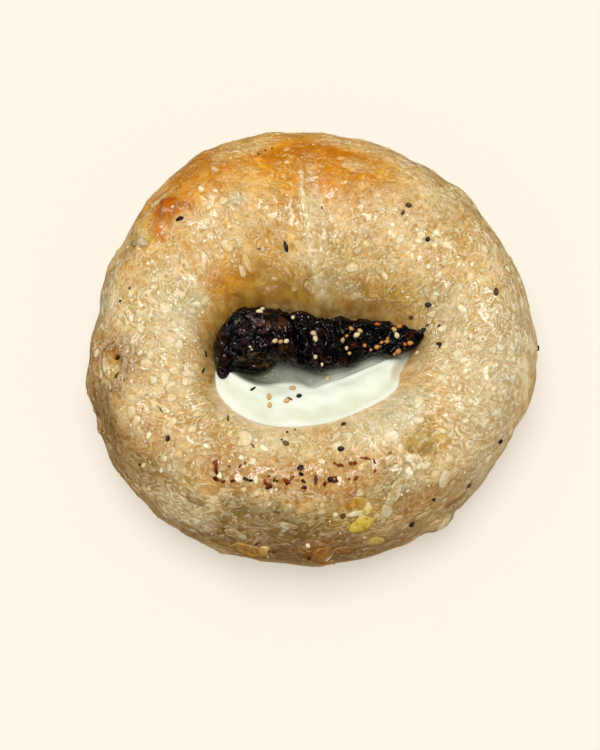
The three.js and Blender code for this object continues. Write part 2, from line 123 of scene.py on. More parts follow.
# Where the baked skin takes another tone: ring angle, section place, reach round the ring, reach
# across it, tone and strength. The RIM_BROWN and TAN rows low on the hole's wall behind the fig,
# at places 0.3 to 0.54, are partly browning and partly painted shade from the fig; the TAN and
# UMBER rows low on the outer flanks are partly browner crust and partly painted shade on the lower sides.
TINTS = [
    (20, 1.95, 34, 9, TAN, 0.2), (0, 2.15, 40, 7, OLIVE_GOLD, 0.3),
    (350, 1.50, 26, 10, (220, 208, 178), 0.75), (330, 1.85, 22, 8, TAN, 0.2), (300, 1.7, 24, 9, TAN, 0.7),
    (265, 1.66, 30, 9, TAN, 1.0), (225, 1.75, 26, 10, TAN, 0.7), (195, 1.9, 26, 9, TAN, 0.9),
    (165, 1.95, 22, 9, TAN, 0.8), (140, 1.95, 24, 9, OLIVE_GOLD, 0.8), (45, 1.9, 20, 8, OLIVE_GOLD, 0.4),
    (95, 1.62, 30, 12, GOLD, 0.9), (98, 1.30, 20, 9, GOLD, 1.0), (76, 1.30, 18, 8, GOLD, 1.0),
    (116, 1.38, 16, 9, GOLD, 1.0), (106, 1.14, 9, 5, GOLD, 0.8), (80, 1.10, 12, 5, GOLD, 0.4),
    (96, 1.42, 9, 6, ORANGE, 0.7), (85, 1.40, 8, 5, ORANGE, 0.6), (84, 1.16, 8, 3.5, ORANGE, 0.35),
    (117, 1.36, 6, 5, ORANGE, 0.6), (124, 1.44, 6, 6, RIM_BROWN, 0.7),
    (112, 1.50, 6, 3, (242, 206, 120), 0.9), (76, 1.34, 4, 2.4, (240, 196, 108), 0.8),
    (100, 1.12, 7, 3.5, GOLD, 0.6), (108, 1.08, 9, 5, HONEY, 0.7), (116, 1.08, 2.6, 2.6, GREY_PALE, 0.8),
    (111, 1.48, 6, 4, HONEY, 0.7), (124, 1.64, 8, 6, AMBER, 0.7), (124, 1.80, 12, 7, RIM_BROWN, 0.4),
    (112, 1.24, 5, 4, HONEY, 0.6), (60, 1.34, 9, 6, HONEY, 0.5), (54, 1.5, 10, 5, OLIVE_GOLD, 0.35),
    (133, 1.42, 12, 8, GOLD, 0.9), (126, 1.6, 8, 6, ORANGE, 0.6), (146, 1.56, 8, 5, OLIVE_GOLD, 0.8),
    (141, 1.12, 7, 5, HONEY, 0.6), (112, 0.46, 22, 5, OLIVE_GOLD, 0.8),
    (123, 0.54, 9, 3.5, RIM_BROWN, 0.6), (104, 0.42, 10, 3, RIM_BROWN, 0.6),
    (75, 0.44, 16, 5, OLIVE_GOLD, 0.9), (132, 0.60, 9, 4.5, GOLD, 0.7),
    (354, 1.60, 9, 5, (240, 224, 184), 0.6), (68, 1.14, 7, 5, PALE, 0.3), (150, 0.36, 12, 6, TAN, 0.5),
    (180, 0.34, 14, 6, TAN, 0.3), (46, 0.5, 9, 6, OLIVE_GOLD, 0.8), (112, 0.76, 12, 5, HONEY, 0.6),
    (130, 0.84, 8, 5, HONEY, 0.3), (157, 0.66, 8, 5, PALE, 0.8), (106, 0.30, 26, 2.8, RIM_BROWN, 0.9),
    (82, 0.30, 16, 2.8, TAN, 1.0), (134, 0.38, 8, 3, RIM_BROWN, 0.6), (70, 0.72, 12, 5, OLIVE_GOLD, 0.3),
    (168, 1.44, 7, 5, PALE, 0.5), (101, 1.0, 5, 7, OLIVE_GOLD, 0.35), (80, 0.46, 6, 3, GREY_PALE, 0.5),
    (44, 1.3, 8, 5, OLIVE_GOLD, 0.4), (160, 1.30, 9, 6, HONEY, 0.7), (190, 1.42, 9, 9, TAN, 1.0),
    (189, 1.40, 6, 6, (166, 116, 60), 1.0), (190.2, 1.43, 3.6, 2.6, (222, 186, 104), 1.0),
    (187.0, 1.40, 1.8, 1.6, (204, 146, 20), 1.0), (193.0, 1.38, 1.6, 1.3, (200, 140, 16), 1.0),
    (204, 1.62, 10, 7, UMBER, 0.5), (206, 1.74, 14, 6, UMBER, 0.5), (200, 0.40, 6, 4, OLIVE_GOLD, 0.5),
    (229, 1.42, 7, 5, GREY_OLIVE, 0.5), (236, 1.85, 10, 6, UMBER, 0.4), (235, 1.62, 9, 6, GREY_PALE, 0.7),
    (254, 1.40, 12, 6, GREY_OLIVE, 1.0), (270, 1.42, 12, 5, GREY_OLIVE, 0.8),
    (246, 1.74, 12, 6, UMBER, 0.6), (266, 1.76, 14, 7, UMBER, 0.9), (255, 1.78, 5, 2.6, AMBER, 0.8),
    (272, 1.78, 5, 4, AMBER, 0.9), (282, 1.80, 14, 8, UMBER, 0.5), (282, 1.30, 9, 6, OLIVE_GOLD, 0.8),
    (281, 1.22, 5, 2.6, AMBER, 0.8), (296, 1.24, 8, 6, GREY_OLIVE, 0.7), (300, 1.5, 9, 6, TAN, 0.9),
    (314, 1.0, 5, 5, OLIVE_GOLD, 0.8), (316, 1.8, 11, 6, GREY_PALE, 0.8), (306, 1.6, 8, 5, TAN, 0.5),
    (346, 1.1, 9, 7, PALE, 0.4), (22, 0.76, 8, 6, GREY_PALE, 0.6), (8, 0.5, 5, 3, GREY_OLIVE, 0.5),
    (304, 1.22, 5, 4, PALE, 0.3), (250, 0.66, 10, 5, PALE, 0.4), (301, 0.66, 10, 6, PALE, 0.9),
    (243, 1.04, 7, 5, PEACH, 0.9), (260, 1.02, 12, 5.5, PEACH, 1.0), (279, 1.00, 9, 4.5, PEACH, 0.9),
    (262, 1.14, 12, 1.6, (170, 110, 40), 0.5), (168, 1.0, 12, 8, PALE, 0.5),
    (100, 0.36, 24, 2.4, OLIVE_GOLD, 0.7), (321, 0.60, 7, 5, GREY_PALE, 0.5),
    (315, 0.68, 7, 5, CREAM_SKIN, 0.5), (327, 1.35, 9, 6, (228, 208, 170), 0.6),
    (216, 1.36, 10, 7, TAN, 0.6), (229, 1.03, 8, 6, TAN, 0.3), (237, 1.16, 7, 5, TAN, 0.4),
    (169, 1.67, 9, 6, GREY_PALE, 0.5), (140.0, 1.50, 5.5, 1.3, (236, 212, 156), 0.9),
    (135.4, 1.28, 4.6, 4.2, ORANGE, 1.0), (137.2, 1.36, 3.4, 2.8, EMBER, 1.0),
    (131.6, 1.26, 1.8, 1.8, (226, 146, 20), 0.8), (134.6, 1.25, 2.6, 0.6, (196, 116, 0), 0.9),
    (138.4, 1.30, 0.7, 2.0, (190, 110, 0), 0.9), (133.2, 1.18, 1.8, 0.9, (246, 208, 130), 0.9),
    (136.6, 1.19, 1.6, 0.9, (250, 222, 160), 0.9), (143.8, 1.28, 3.0, 2.8, (234, 152, 20), 1.0),
    (147.0, 1.28, 1.8, 1.8, HONEY, 0.8), (143.5, 1.61, 5.5, 2.0, (208, 140, 0), 1.0),
    (221, 1.62, 6, 5, GREY_OLIVE, 0.6), (226, 1.32, 4, 3, GREY_PALE, 0.5),
    (106, 1.56, 8, 4, (240, 196, 110), 0.5), (80, 1.56, 10, 4, (236, 200, 130), 0.6),
    (54, 1.36, 8, 6, PALE, 0.4), (27, 1.50, 8, 5, PALE, 0.4), (236.5, 1.56, 7, 5, (224, 204, 156), 0.6),
    (146, 0.42, 6, 4, HONEY, 0.6),
]
# Where the skin is stretched smooth, and where pale flakes lie thickest: angle, place and reaches.
SMOOTH_PATCHES = [
    (95, 1.46, 9, 4), (82, 1.42, 8, 3), (118, 0.50, 10, 5), (98, 0.40, 9, 4), (350, 1.7, 14, 5),
    (135.5, 1.29, 4.5, 4.2), (144, 1.29, 3.2, 2.8), (143, 1.60, 5, 2.4), (189.5, 1.42, 3.6, 3.0),
]
FLAKY_PATCHES = [
    (185, 0.95, 26, 12), (165, 0.9, 12, 8), (225, 0.8, 18, 9), (270, 0.6, 16, 6), (310, 1.0, 18, 10),
    (345, 0.9, 18, 10), (10, 1.1, 18, 9), (40, 0.9, 14, 9), (72, 0.75, 12, 6), (120, 0.85, 12, 7),
]


def linear(tone):
    """An sRGB tone as the linear colour that shaders work in."""
    shares = [value / 255 for value in tone]
    return np.array([s / 12.92 if s <= 0.04045 else ((s + 0.055) / 1.055) ** 2.4 for s in shares])


# ---------------------------------------------------------------- node trees

def operator(operation, swapped=False):
    """A method that adds one Math node; the reflected form has its operands swapped."""
    def method(wire, other):
        return wire.graph.maths(operation, *((other, wire) if swapped else (wire, other)))
    return method


class Wire:
    """An output socket that takes part in Python sums: each operator adds one Math node."""

    def __init__(self, graph, socket):
        self.graph = graph
        self.socket = socket

    __add__, __radd__ = operator("ADD"), operator("ADD", swapped=True)
    __sub__, __rsub__ = operator("SUBTRACT"), operator("SUBTRACT", swapped=True)
    __mul__, __rmul__ = operator("MULTIPLY"), operator("MULTIPLY", swapped=True)
    __truediv__, __rtruediv__ = operator("DIVIDE"), operator("DIVIDE", swapped=True)

    def __abs__(self):
        return self.graph.maths("ABSOLUTE", self, 0.0)


class Graph:
    """Builds a shader tree or a geometry tree."""

    def __init__(self, tree):
        self.tree = tree

    def add(self, kind, settings=None, sockets=None, out=0):
        """A node of that kind; out picks the output that is returned, None returns the node."""
        node = self.tree.nodes.new(kind)
        for name, value in (settings or {}).items():
            setattr(node, name, value)
        for name, value in (sockets or {}).items():
            if isinstance(value, Wire):
                self.tree.links.new(value.socket, node.inputs[name])
            else:
                node.inputs[name].default_value = value
        return node if out is None else Wire(self, node.outputs[out])

    def maths(self, operation, *values):
        return self.add("ShaderNodeMath", {"operation": operation}, dict(enumerate(values)))

    def vector(self, operation, first, second, out=0):
        sockets = {0: first, "Scale" if operation == "SCALE" else 1: second}
        return self.add("ShaderNodeVectorMath", {"operation": operation}, sockets, out)

    def limit(self, value, low, high, to_low=0.0, to_high=1.0, smooth=True):
        """value from low..high brought to to_low..to_high, and held there."""
        kind = "SMOOTHSTEP" if smooth else "LINEAR"
        sockets = {"Value": value, "From Min": low, "From Max": high, "To Min": to_low, "To Max": to_high}
        return self.add("ShaderNodeMapRange", {"interpolation_type": kind}, sockets)

    def colour(self, share, first, second, blend="MIX"):
        """first where share is 0, second where it is 1; either may be an sRGB tone."""
        settings = {"data_type": "RGBA", "blend_type": blend}
        first, second = [c if isinstance(c, Wire) else (*linear(c), 1.0) for c in (first, second)]
        return self.add("ShaderNodeMix", settings, {0: share, 6: first, 7: second}, out=2)

    def noise(self, place, scale, detail=2.0, roughness=0.5, distortion=0.0, out=0):
        sockets = {"Vector": place, "Scale": scale, "Detail": detail}
        sockets |= {"Roughness": roughness, "Distortion": distortion}
        return self.add("ShaderNodeTexNoise", None, sockets, out)

    def cells(self, place, scale):
        """Distance to the nearest of scattered points, in cells, and three random numbers of it."""
        sockets = {"Vector": place, "Scale": scale, "Randomness": 1.0}
        node = self.add("ShaderNodeTexVoronoi", None, sockets, out=None)
        parts = self.add("ShaderNodeSeparateXYZ", None, {0: Wire(self, node.outputs["Color"])}, out=None)
        return Wire(self, node.outputs["Distance"]), [Wire(self, o) for o in parts.outputs]

    def shifted(self, place, warp, amount):
        """place moved by a noise of that amount, so that what is drawn on it isn't too regular."""
        return self.vector("ADD", place, self.centred(warp, amount))

    def centred(self, warp, amount):
        """A vector noise of 0 to 1 as a shift of up to half that amount each way."""
        return self.vector("SCALE", self.vector("SUBTRACT", warp, (0.5, 0.5, 0.5)), amount)

    def any_number(self, low, high, seed):
        sockets = {2: low, 3: high, "Seed": seed}
        return self.add("FunctionNodeRandomValue", {"data_type": "FLOAT"}, sockets, out=1)

    def attribute(self, name, out="Fac"):
        return self.add("ShaderNodeAttribute", {"attribute_name": name}, None, out)

    def stored(self, name, kind="FLOAT"):
        return self.add("GeometryNodeInputNamedAttribute", {"data_type": kind}, {"Name": name})

    def stretched(self, place, factors):
        return self.vector("MULTIPLY", place, factors)

    def in_millimetres(self):
        """The place on a finished piece, whose mesh is in metres."""
        return self.stretched(self.add("ShaderNodeTexCoord", out="Object"), (1 / MM, 1 / MM, 1 / MM))

    def curls(self, place, scale, count):
        """1 on the crests and 0 between the nested level lines of a noise."""
        level = self.noise(place, scale, 1.0, 0.4) * count
        return self.limit(self.maths("SINE", level), -0.3, 0.95)

    def veins(self, place, scale, width):
        """1 along thin winding lines, 0 between them."""
        return self.limit(abs(self.noise(place, scale, 1.5) - 0.5), width, 0.0)

    def bump(self, height, strength, distance):
        sockets = {"Height": height, "Strength": strength, "Distance": distance}
        return self.add("ShaderNodeBump", None, sockets)


def material(name, paint, **constants):
    """A Principled material: constants go on its sockets, paint(graph) returns the linked ones."""
    made = bpy.data.materials.new(name)
    made.use_nodes = True
    tree = made.node_tree
    shader = tree.nodes["Principled BSDF"]
    for socket, value in constants.items():
        shader.inputs[socket.replace("_", " ")].default_value = value
    for socket, wire in paint(Graph(tree)).items():
        tree.links.new(wire.socket, shader.inputs[socket])
    return made


def geometry_tree(name, build, **inputs):
    """A geometry tree with those named inputs; build(graph, wires) returns the geometry's wire."""
    tree = bpy.data.node_groups.new(name, "GeometryNodeTree")
    tree.interface.new_socket("Geometry", in_out="INPUT", socket_type="NodeSocketGeometry")
    tree.interface.new_socket("Geometry", in_out="OUTPUT", socket_type="NodeSocketGeometry")
    for label, kind in inputs.items():
        tree.interface.new_socket(label, in_out="INPUT", socket_type="NodeSocket" + kind)
    graph = Graph(tree)
    entry = graph.add("NodeGroupInput", out=None)
    wires = {socket.name: Wire(graph, socket) for socket in entry.outputs if socket.name}
    result = graph.add("GeometryNodeRealizeInstances", None, {0: build(graph, wires)})
    result = graph.add("GeometryNodeSetMaterial", None, {0: result, "Material": wires["Material"]})
    graph.add("NodeGroupOutput", None, {0: result}, out=None)
    return tree


def settle(obj, keep_layers):
    """Turns what obj's modifiers make of it into its own plain mesh."""
    graph = bpy.context.evaluated_depsgraph_get()
    made = bpy.data.meshes.new_from_object(obj.evaluated_get(graph), depsgraph=graph,
                                           preserve_all_data_layers=keep_layers)
    obj.modifiers.clear()
    old, obj.data = obj.data, made
    bpy.data.meshes.remove(old)


def run_tree(obj, tree, **values):
    """Turns obj into the plain mesh that the tree makes of it."""
    modifier = obj.modifiers.new(tree.name, "NODES")
    modifier.node_group = tree
    for item in tree.interface.items_tree:
        if item.in_out == "INPUT" and item.name in values:
            modifier[item.identifier] = values[item.name]
    settle(obj, keep_layers=True)


# ---------------------------------------------------------------- meshes

def new_object(name, vertices, faces):
    mesh = bpy.data.meshes.new(name)
    mesh.from_pydata(vertices, [], faces)
    mesh.update()
    obj = bpy.data.objects.new(name, mesh)
    bpy.context.scene.collection.objects.link(obj)
    return obj


def grid_faces(rows, columns, wrap_rows=False):
    """Quads of a grid that closes across: its vertex (i, j) has number i * columns + j."""
    i, j = np.meshgrid(np.arange(rows - (not wrap_rows)), np.arange(columns), indexing="ij")
    i, j = i.ravel(), j.ravel()
    after_i, after_j = (i + 1) % rows, (j + 1) % columns
    corners = [(i, j), (after_i, j), (after_i, after_j), (i, after_j)]
    return np.stack([a * columns + b for a, b in corners], axis=1)


def paint_points(mesh, name, values):
    """Stores one colour or one number for each vertex."""
    values = np.asarray(values, dtype=np.float32)
    if values.ndim == 1:
        mesh.attributes.new(name, "FLOAT", "POINT").data.foreach_set("value", values)
    else:
        filled = np.insert(values, 3, 1, axis=1)
        mesh.attributes.new(name, "FLOAT_COLOR", "POINT").data.foreach_set("color", filled.ravel())


def paint_places(mesh, name, values):
    """Stores one vector for each vertex."""
    filled = np.asarray(values, dtype=np.float32).ravel()
    mesh.attributes.new(name, "FLOAT_VECTOR", "POINT").data.foreach_set("vector", filled)


def points_of(mesh):
    flat = np.empty(len(mesh.vertices) * 3)
    mesh.vertices.foreach_get("co", flat)
    return flat.reshape(-1, 3)


def tones_of(mesh):
    flat = np.empty(len(mesh.vertices) * 4, dtype=np.float32)
    mesh.attributes["tint"].data.foreach_get("color", flat)
    return flat.reshape(-1, 4)[:, :3].astype(float)


def to_metres(obj):
    """The shape is done: millimetres become the frame's metres."""
    mesh = obj.data
    mesh.vertices.foreach_set("co", (points_of(mesh) * MM).ravel())
    mesh.update()
    mesh.polygons.foreach_set("use_smooth", [True] * len(mesh.polygons))


def hand_in(obj, slot, *replaced):
    """Puts a finished piece on the one body and hides the parts it stands for; slot is not used."""
    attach(obj, "root")
    if replaced:
        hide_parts(*replaced)


def falloff(distance):
    """1 at 0, and smoothly 0 from 1 on."""
    return np.clip(1 - distance ** 2, 0, None) ** 2


def wobble(points, wave, seed):
    """A smooth random vector for each point."""
    shift = Vector((seed * 7.3, seed * 3.1, seed * 5.7))
    return np.array([noise.noise_vector(Vector(p) / wave + shift) for p in points])


# ---------------------------------------------------------------- the ring of dough

def round_curve(values, angle):
    """Smooth periodic curve through values spaced evenly round the ring."""
    values = np.asarray(values, dtype=float)
    count = len(values)
    place = (angle / math.tau * count) % count
    i = np.floor(place).astype(int)
    f = place - i
    a, b, c, d = [values[(i + k) % count] for k in (-1, 0, 1, 2)]
    return b + 0.5 * f * (c - a + f * (2 * a - 5 * b + 4 * c - d + f * (3 * (b - c) + d - a)))


def section(place, crest):
    """Share of the ring's width, counted from the hole, and height at a section place."""
    arc = np.floor(place)
    f = (place - arc) * math.pi / 2
    sine, cosine = np.sin(f), np.cos(f)
    share = np.select([arc == k for k in range(5)], [
        CREST_PLACE * (1 - cosine),
        CREST_PLACE + (1 - CREST_PLACE) * sine,
        FOOT_OUTER + (1 - FOOT_OUTER) * cosine,
        FOOT_OUTER + (FOOT_INNER - FOOT_OUTER) * (place - arc),
        FOOT_INNER * (1 - sine),
    ])
    height = np.select([arc == k for k in range(5)], [
        INNER_WAIST + (crest - INNER_WAIST) * sine,
        OUTER_WAIST + (crest - OUTER_WAIST) * cosine,
        OUTER_WAIST * (1 - sine),
        0 * place,
        INNER_WAIST * (1 - cosine),
    ])
    return share, height


def smooth_ring(angle, place):
    """The ring before its lumps, as an array of points."""
    angle, place = np.broadcast_arrays(np.asarray(angle, float), np.asarray(place, float))
    share, height = section(place % 5, round_curve(CREST_HEIGHT, angle))
    outer = round_curve(OUTER_RADIUS, angle)
    stretch = round_curve(HOLE_STRETCH, angle)
    hole_x = HOLE_MIDDLE[0] + HOLE_HALF[0] * stretch * np.cos(angle)
    hole_y = HOLE_MIDDLE[1] + HOLE_HALF[1] * stretch * np.sin(angle)
    x = hole_x + (outer * np.cos(angle) - hole_x) * share
    y = hole_y + (outer * np.sin(angle) - hole_y) * share
    return np.stack([x, y, height], axis=-1)


def ring_normal(angle, place):
    step = 1e-3
    along = smooth_ring(angle + step, place) - smooth_ring(angle - step, place)
    across = smooth_ring(angle, place + step) - smooth_ring(angle, place - step)
    normal = np.cross(across, along)
    return normal / np.linalg.norm(normal, axis=-1, keepdims=True)


def through(places, values, x):
    """Smooth curve through values at the given places, level beyond the last ones."""
    places, values = np.asarray(places, float), np.asarray(values, float)
    slope = np.gradient(values, places)
    slope[1:-1] = (values[2:] - values[:-2]) / (places[2:] - places[:-2])
    clamped = np.clip(x, places[0], places[-1])
    i = np.clip(np.searchsorted(places, clamped, side="left") - 1, 0, len(places) - 2)
    span = places[i + 1] - places[i]
    f = (clamped - places[i]) / span
    g = 1 - f
    ends = values[i] * (1 + 2 * f) * g * g + values[i + 1] * (1 + 2 * g) * f * f
    return ends + span * f * g * (slope[i] * g - slope[i + 1] * f)


def ramp(value, low, high):
    share = np.clip((value - low) / (high - low), 0, 1)
    return share * share * (3 - 2 * share)


def seam_offset(angle, place, points):
    """Signed distance from the seam, round the ring."""
    seam = np.radians(through(SEAM_PLACE, SEAM_ANGLE, place))
    return (angle - seam) * np.hypot(points[..., 0], points[..., 1])


def relief(angle, place, points):
    """How far the skin stands out of the smooth ring: nil on the foot and deep in the hole."""
    fade = ramp(place, 0.3, 0.6) * (1 - ramp(place, 2.3, 2.9))
    x, y, z = np.moveaxis(points, -1, 0)
    out = np.zeros(points.shape[:-1])
    for size, length in UNEVEN:
        k = math.tau / length
        out += size * np.sin(k * x + 1) * np.sin(k * y + 2 + 0.3 * k * z)
    for rows, steepen in ((LUMPS + SMALL_LUMPS, 1), (DOMES, 0.5)):
        for degrees, at, reach, rise in rows:
            middle = smooth_ring(math.radians(degrees), at)
            out += rise * falloff(np.linalg.norm(points - middle, axis=-1) / reach) ** steepen
    away = points - smooth_ring(math.radians(POCKET[0]), POCKET[1])
    from_pocket = np.linalg.norm(away / POCKET_HALF, axis=-1)
    out += POCKET_LIP * falloff((from_pocket - 1.15) / 0.5) - POCKET_DEPTH * falloff(from_pocket / 1.1)
    off = seam_offset(angle, place, points)
    for middle, half_width, rise in SEAM_PARTS:
        out += rise * falloff((off - middle) / half_width) * (1 - 0.8 * ramp(place, 1.2, 1.5))
    return out * fade


def patch_weight(points, degrees, at, reach_round, reach_across):
    """1 in the middle of a long patch that lies round the ring, 0 outside it."""
    turn = math.radians(degrees)
    away = points - smooth_ring(turn, at)
    lengthwise = -away[:, 0] * math.sin(turn) + away[:, 1] * math.cos(turn)
    rest = np.sqrt(np.clip((away ** 2).sum(axis=1) - lengthwise ** 2, 0, None))
    distance = np.hypot(lengthwise / (reach_round * 1.25), rest / (reach_across * 1.25))
    return np.sqrt(falloff(distance))


def crust_paint(angle, place, points):
    """The skin's tone at each point, and how deep, smooth and flaky it is there."""
    flat = points.reshape(-1, 3)
    place = place.ravel()
    warped = flat + 2.6 * wobble(flat, 7.0, 1) + 1.2 * wobble(flat, 2.6, 2)
    tone = np.tile(linear(STRAW), (len(flat), 1))
    rich, smooth_share, flaky = np.zeros((3, len(flat)))

    def blend(share, patch):
        nonlocal tone, rich
        tone = tone + share[:, None] * (linear(patch) - tone)
        rich = rich + share * (DEPTH.get(patch, 0) - rich)

    # The outer flanks and the foot turn tan and umber: partly browner crust, partly painted shade on the
    # lower sides.
    blend(0.6 * ramp(place, 1.3, 1.8), TAN)
    blend(0.6 * ramp(place, 2.1, 3.0), UMBER)
    for degrees, at, reach_round, reach_across, patch, strength in TINTS:
        loose = min(1.0, (reach_round + reach_across) / 16) ** 2
        near = flat + loose * (warped - flat)
        blend(strength * patch_weight(near, degrees, at, reach_round, reach_across), patch)
    off = seam_offset(angle, place.reshape(angle.shape), points).ravel()
    on_top = ramp(place, 0.35, 0.6) * (1 - ramp(place, 1.2, 1.5))
    outward = ramp(np.sin(angle.ravel() + 0.5), -0.5, 0.2)
    blend(0.9 * ramp(place, 1.6, 1.85) * (1 - ramp(place, 2.1, 2.5)) * outward, EDGE_GLOW)
    broken = ramp(wobble(flat, 4.0, 9)[:, 0], -0.25, 0.25)
    blend((0.14 + 0.3 * broken) * falloff((off + 1.9) / 1.8) * on_top, GREY_CREAM)
    blend(0.35 * falloff((off - 3.4) / 3.2) * on_top * ramp(place, 0.75, 1.1), GOLD)
    in_seam = falloff((off - 0.1) / 0.9) * ramp(place, 0.2, 0.4) * (1 - ramp(place, 1.1, 1.4))
    blend(0.6 * in_seam, CREAM_SKIN)
    for row in SMOOTH_PATCHES:
        smooth_share = np.maximum(smooth_share, patch_weight(flat, *row))
    for row in FLAKY_PATCHES:
        flaky = np.maximum(flaky, patch_weight(warped, *row))
    return tone, rich, smooth_share, flaky


def skin_places(angle, points):
    """Where each point lies in the skin's grain: along the ring, and across it over the skin."""
    steps = np.linalg.norm(np.diff(points, axis=1), axis=2)
    across = np.concatenate([np.zeros((len(points), 1)), np.cumsum(steps, axis=1)], axis=1)
    return np.stack([40 * np.cos(angle), 40 * np.sin(angle), across], axis=-1)


def build_crust():
    places = np.concatenate([
        arc + np.arange(steps) / steps for arc, steps in enumerate(CRUST_SECTION_STEPS)
    ])
    angles = np.arange(CRUST_ROUND_STEPS) / CRUST_ROUND_STEPS * math.tau
    angle, place = np.meshgrid(angles, places, indexing="ij")
    base = smooth_ring(angle, place)
    points = base + ring_normal(angle, place) * relief(angle, place, base)[..., None]
    faces = grid_faces(len(angles), len(places), wrap_rows=True)[:, ::-1]
    crust = new_object("crust", points.reshape(-1, 3), faces.tolist())
    tone, rich, smooth_share, flaky = crust_paint(angle, place, base)
    mesh = crust.data
    side = ramp(place, 1.4, 1.8) * (1 - ramp(place, 2.4, 2.9))
    baked = ramp(place, 0.25, 0.55) * (1 - ramp(place, 2.2, 2.9))
    painted = {"tint": tone, "rich": rich, "smooth": smooth_share, "flaky": flaky,
               "side": side.ravel(), "baked": baked.ravel()}
    for name, values in painted.items():
        paint_points(mesh, name, values)
    paint_places(mesh, "rest", skin_places(angle, base).reshape(-1, 3))
    return crust


# Blisters of the skin: the same fields shape the mesh and paint it.
BLISTER_FIELDS = [  # size of a cell, largest radius in cells, share of cells that hold one
    (4.6, 0.40, 0.4), (2.4, 0.44, 0.55), (1.3, 0.46, 0.7),
]


def blister_fields(g, place):
    """For each size: the blister's dome, the distance in radii, and whether the cell holds one."""
    place = g.shifted(place, g.noise(place, 0.9, 1.0, out=1), 0.9)
    fields = []
    for cell, largest, share in BLISTER_FIELDS:
        distance, (pick, size, _) = g.cells(place, 1 / cell)
        radius = g.limit(size, 0.0, 1.0, largest * 0.45, largest, smooth=False)
        there = g.limit(pick, 1 - share, 1 - share + 0.02)
        reach = distance / radius
        fields.append((g.limit(reach, 1.0, 0.45) * there, reach, there))
    return fields


def skin_flow(g, place):
    return g.shifted(place, g.noise(place, 0.3, 1.0, out=1), 2.4)


def crust_relief():
    def build(g, wires):
        place = g.stored("rest", "FLOAT_VECTOR")
        rough = 1 - 0.8 * g.stored("smooth")
        big, middle, _ = [field[0] for field in blister_fields(g, place)]
        flow = skin_flow(g, place)
        ridges = g.veins(flow, 0.2, 0.14) * rough
        drawn_out = g.veins(g.stretched(flow, (0.5, 0.5, 1.6)), 0.2, 0.16) * g.stored("side")
        slow = g.noise(place, 0.14, 3.0) - 0.5
        height = wires["Blister rise"] * (big + 0.6 * middle) * rough
        height = height + wires["Ridge rise"] * (ridges + drawn_out) + wires["Slow rise"] * slow
        normal = g.add("GeometryNodeInputNormal")
        push = g.vector("SCALE", normal, height * g.stored("baked"))
        return g.add("GeometryNodeSetPosition", None, {0: wires["Geometry"], "Offset": push})
    return geometry_tree("crust_relief", build, **{
        "Material": "Material", "Blister rise": "Float", "Ridge rise": "Float", "Slow rise": "Float",
    })


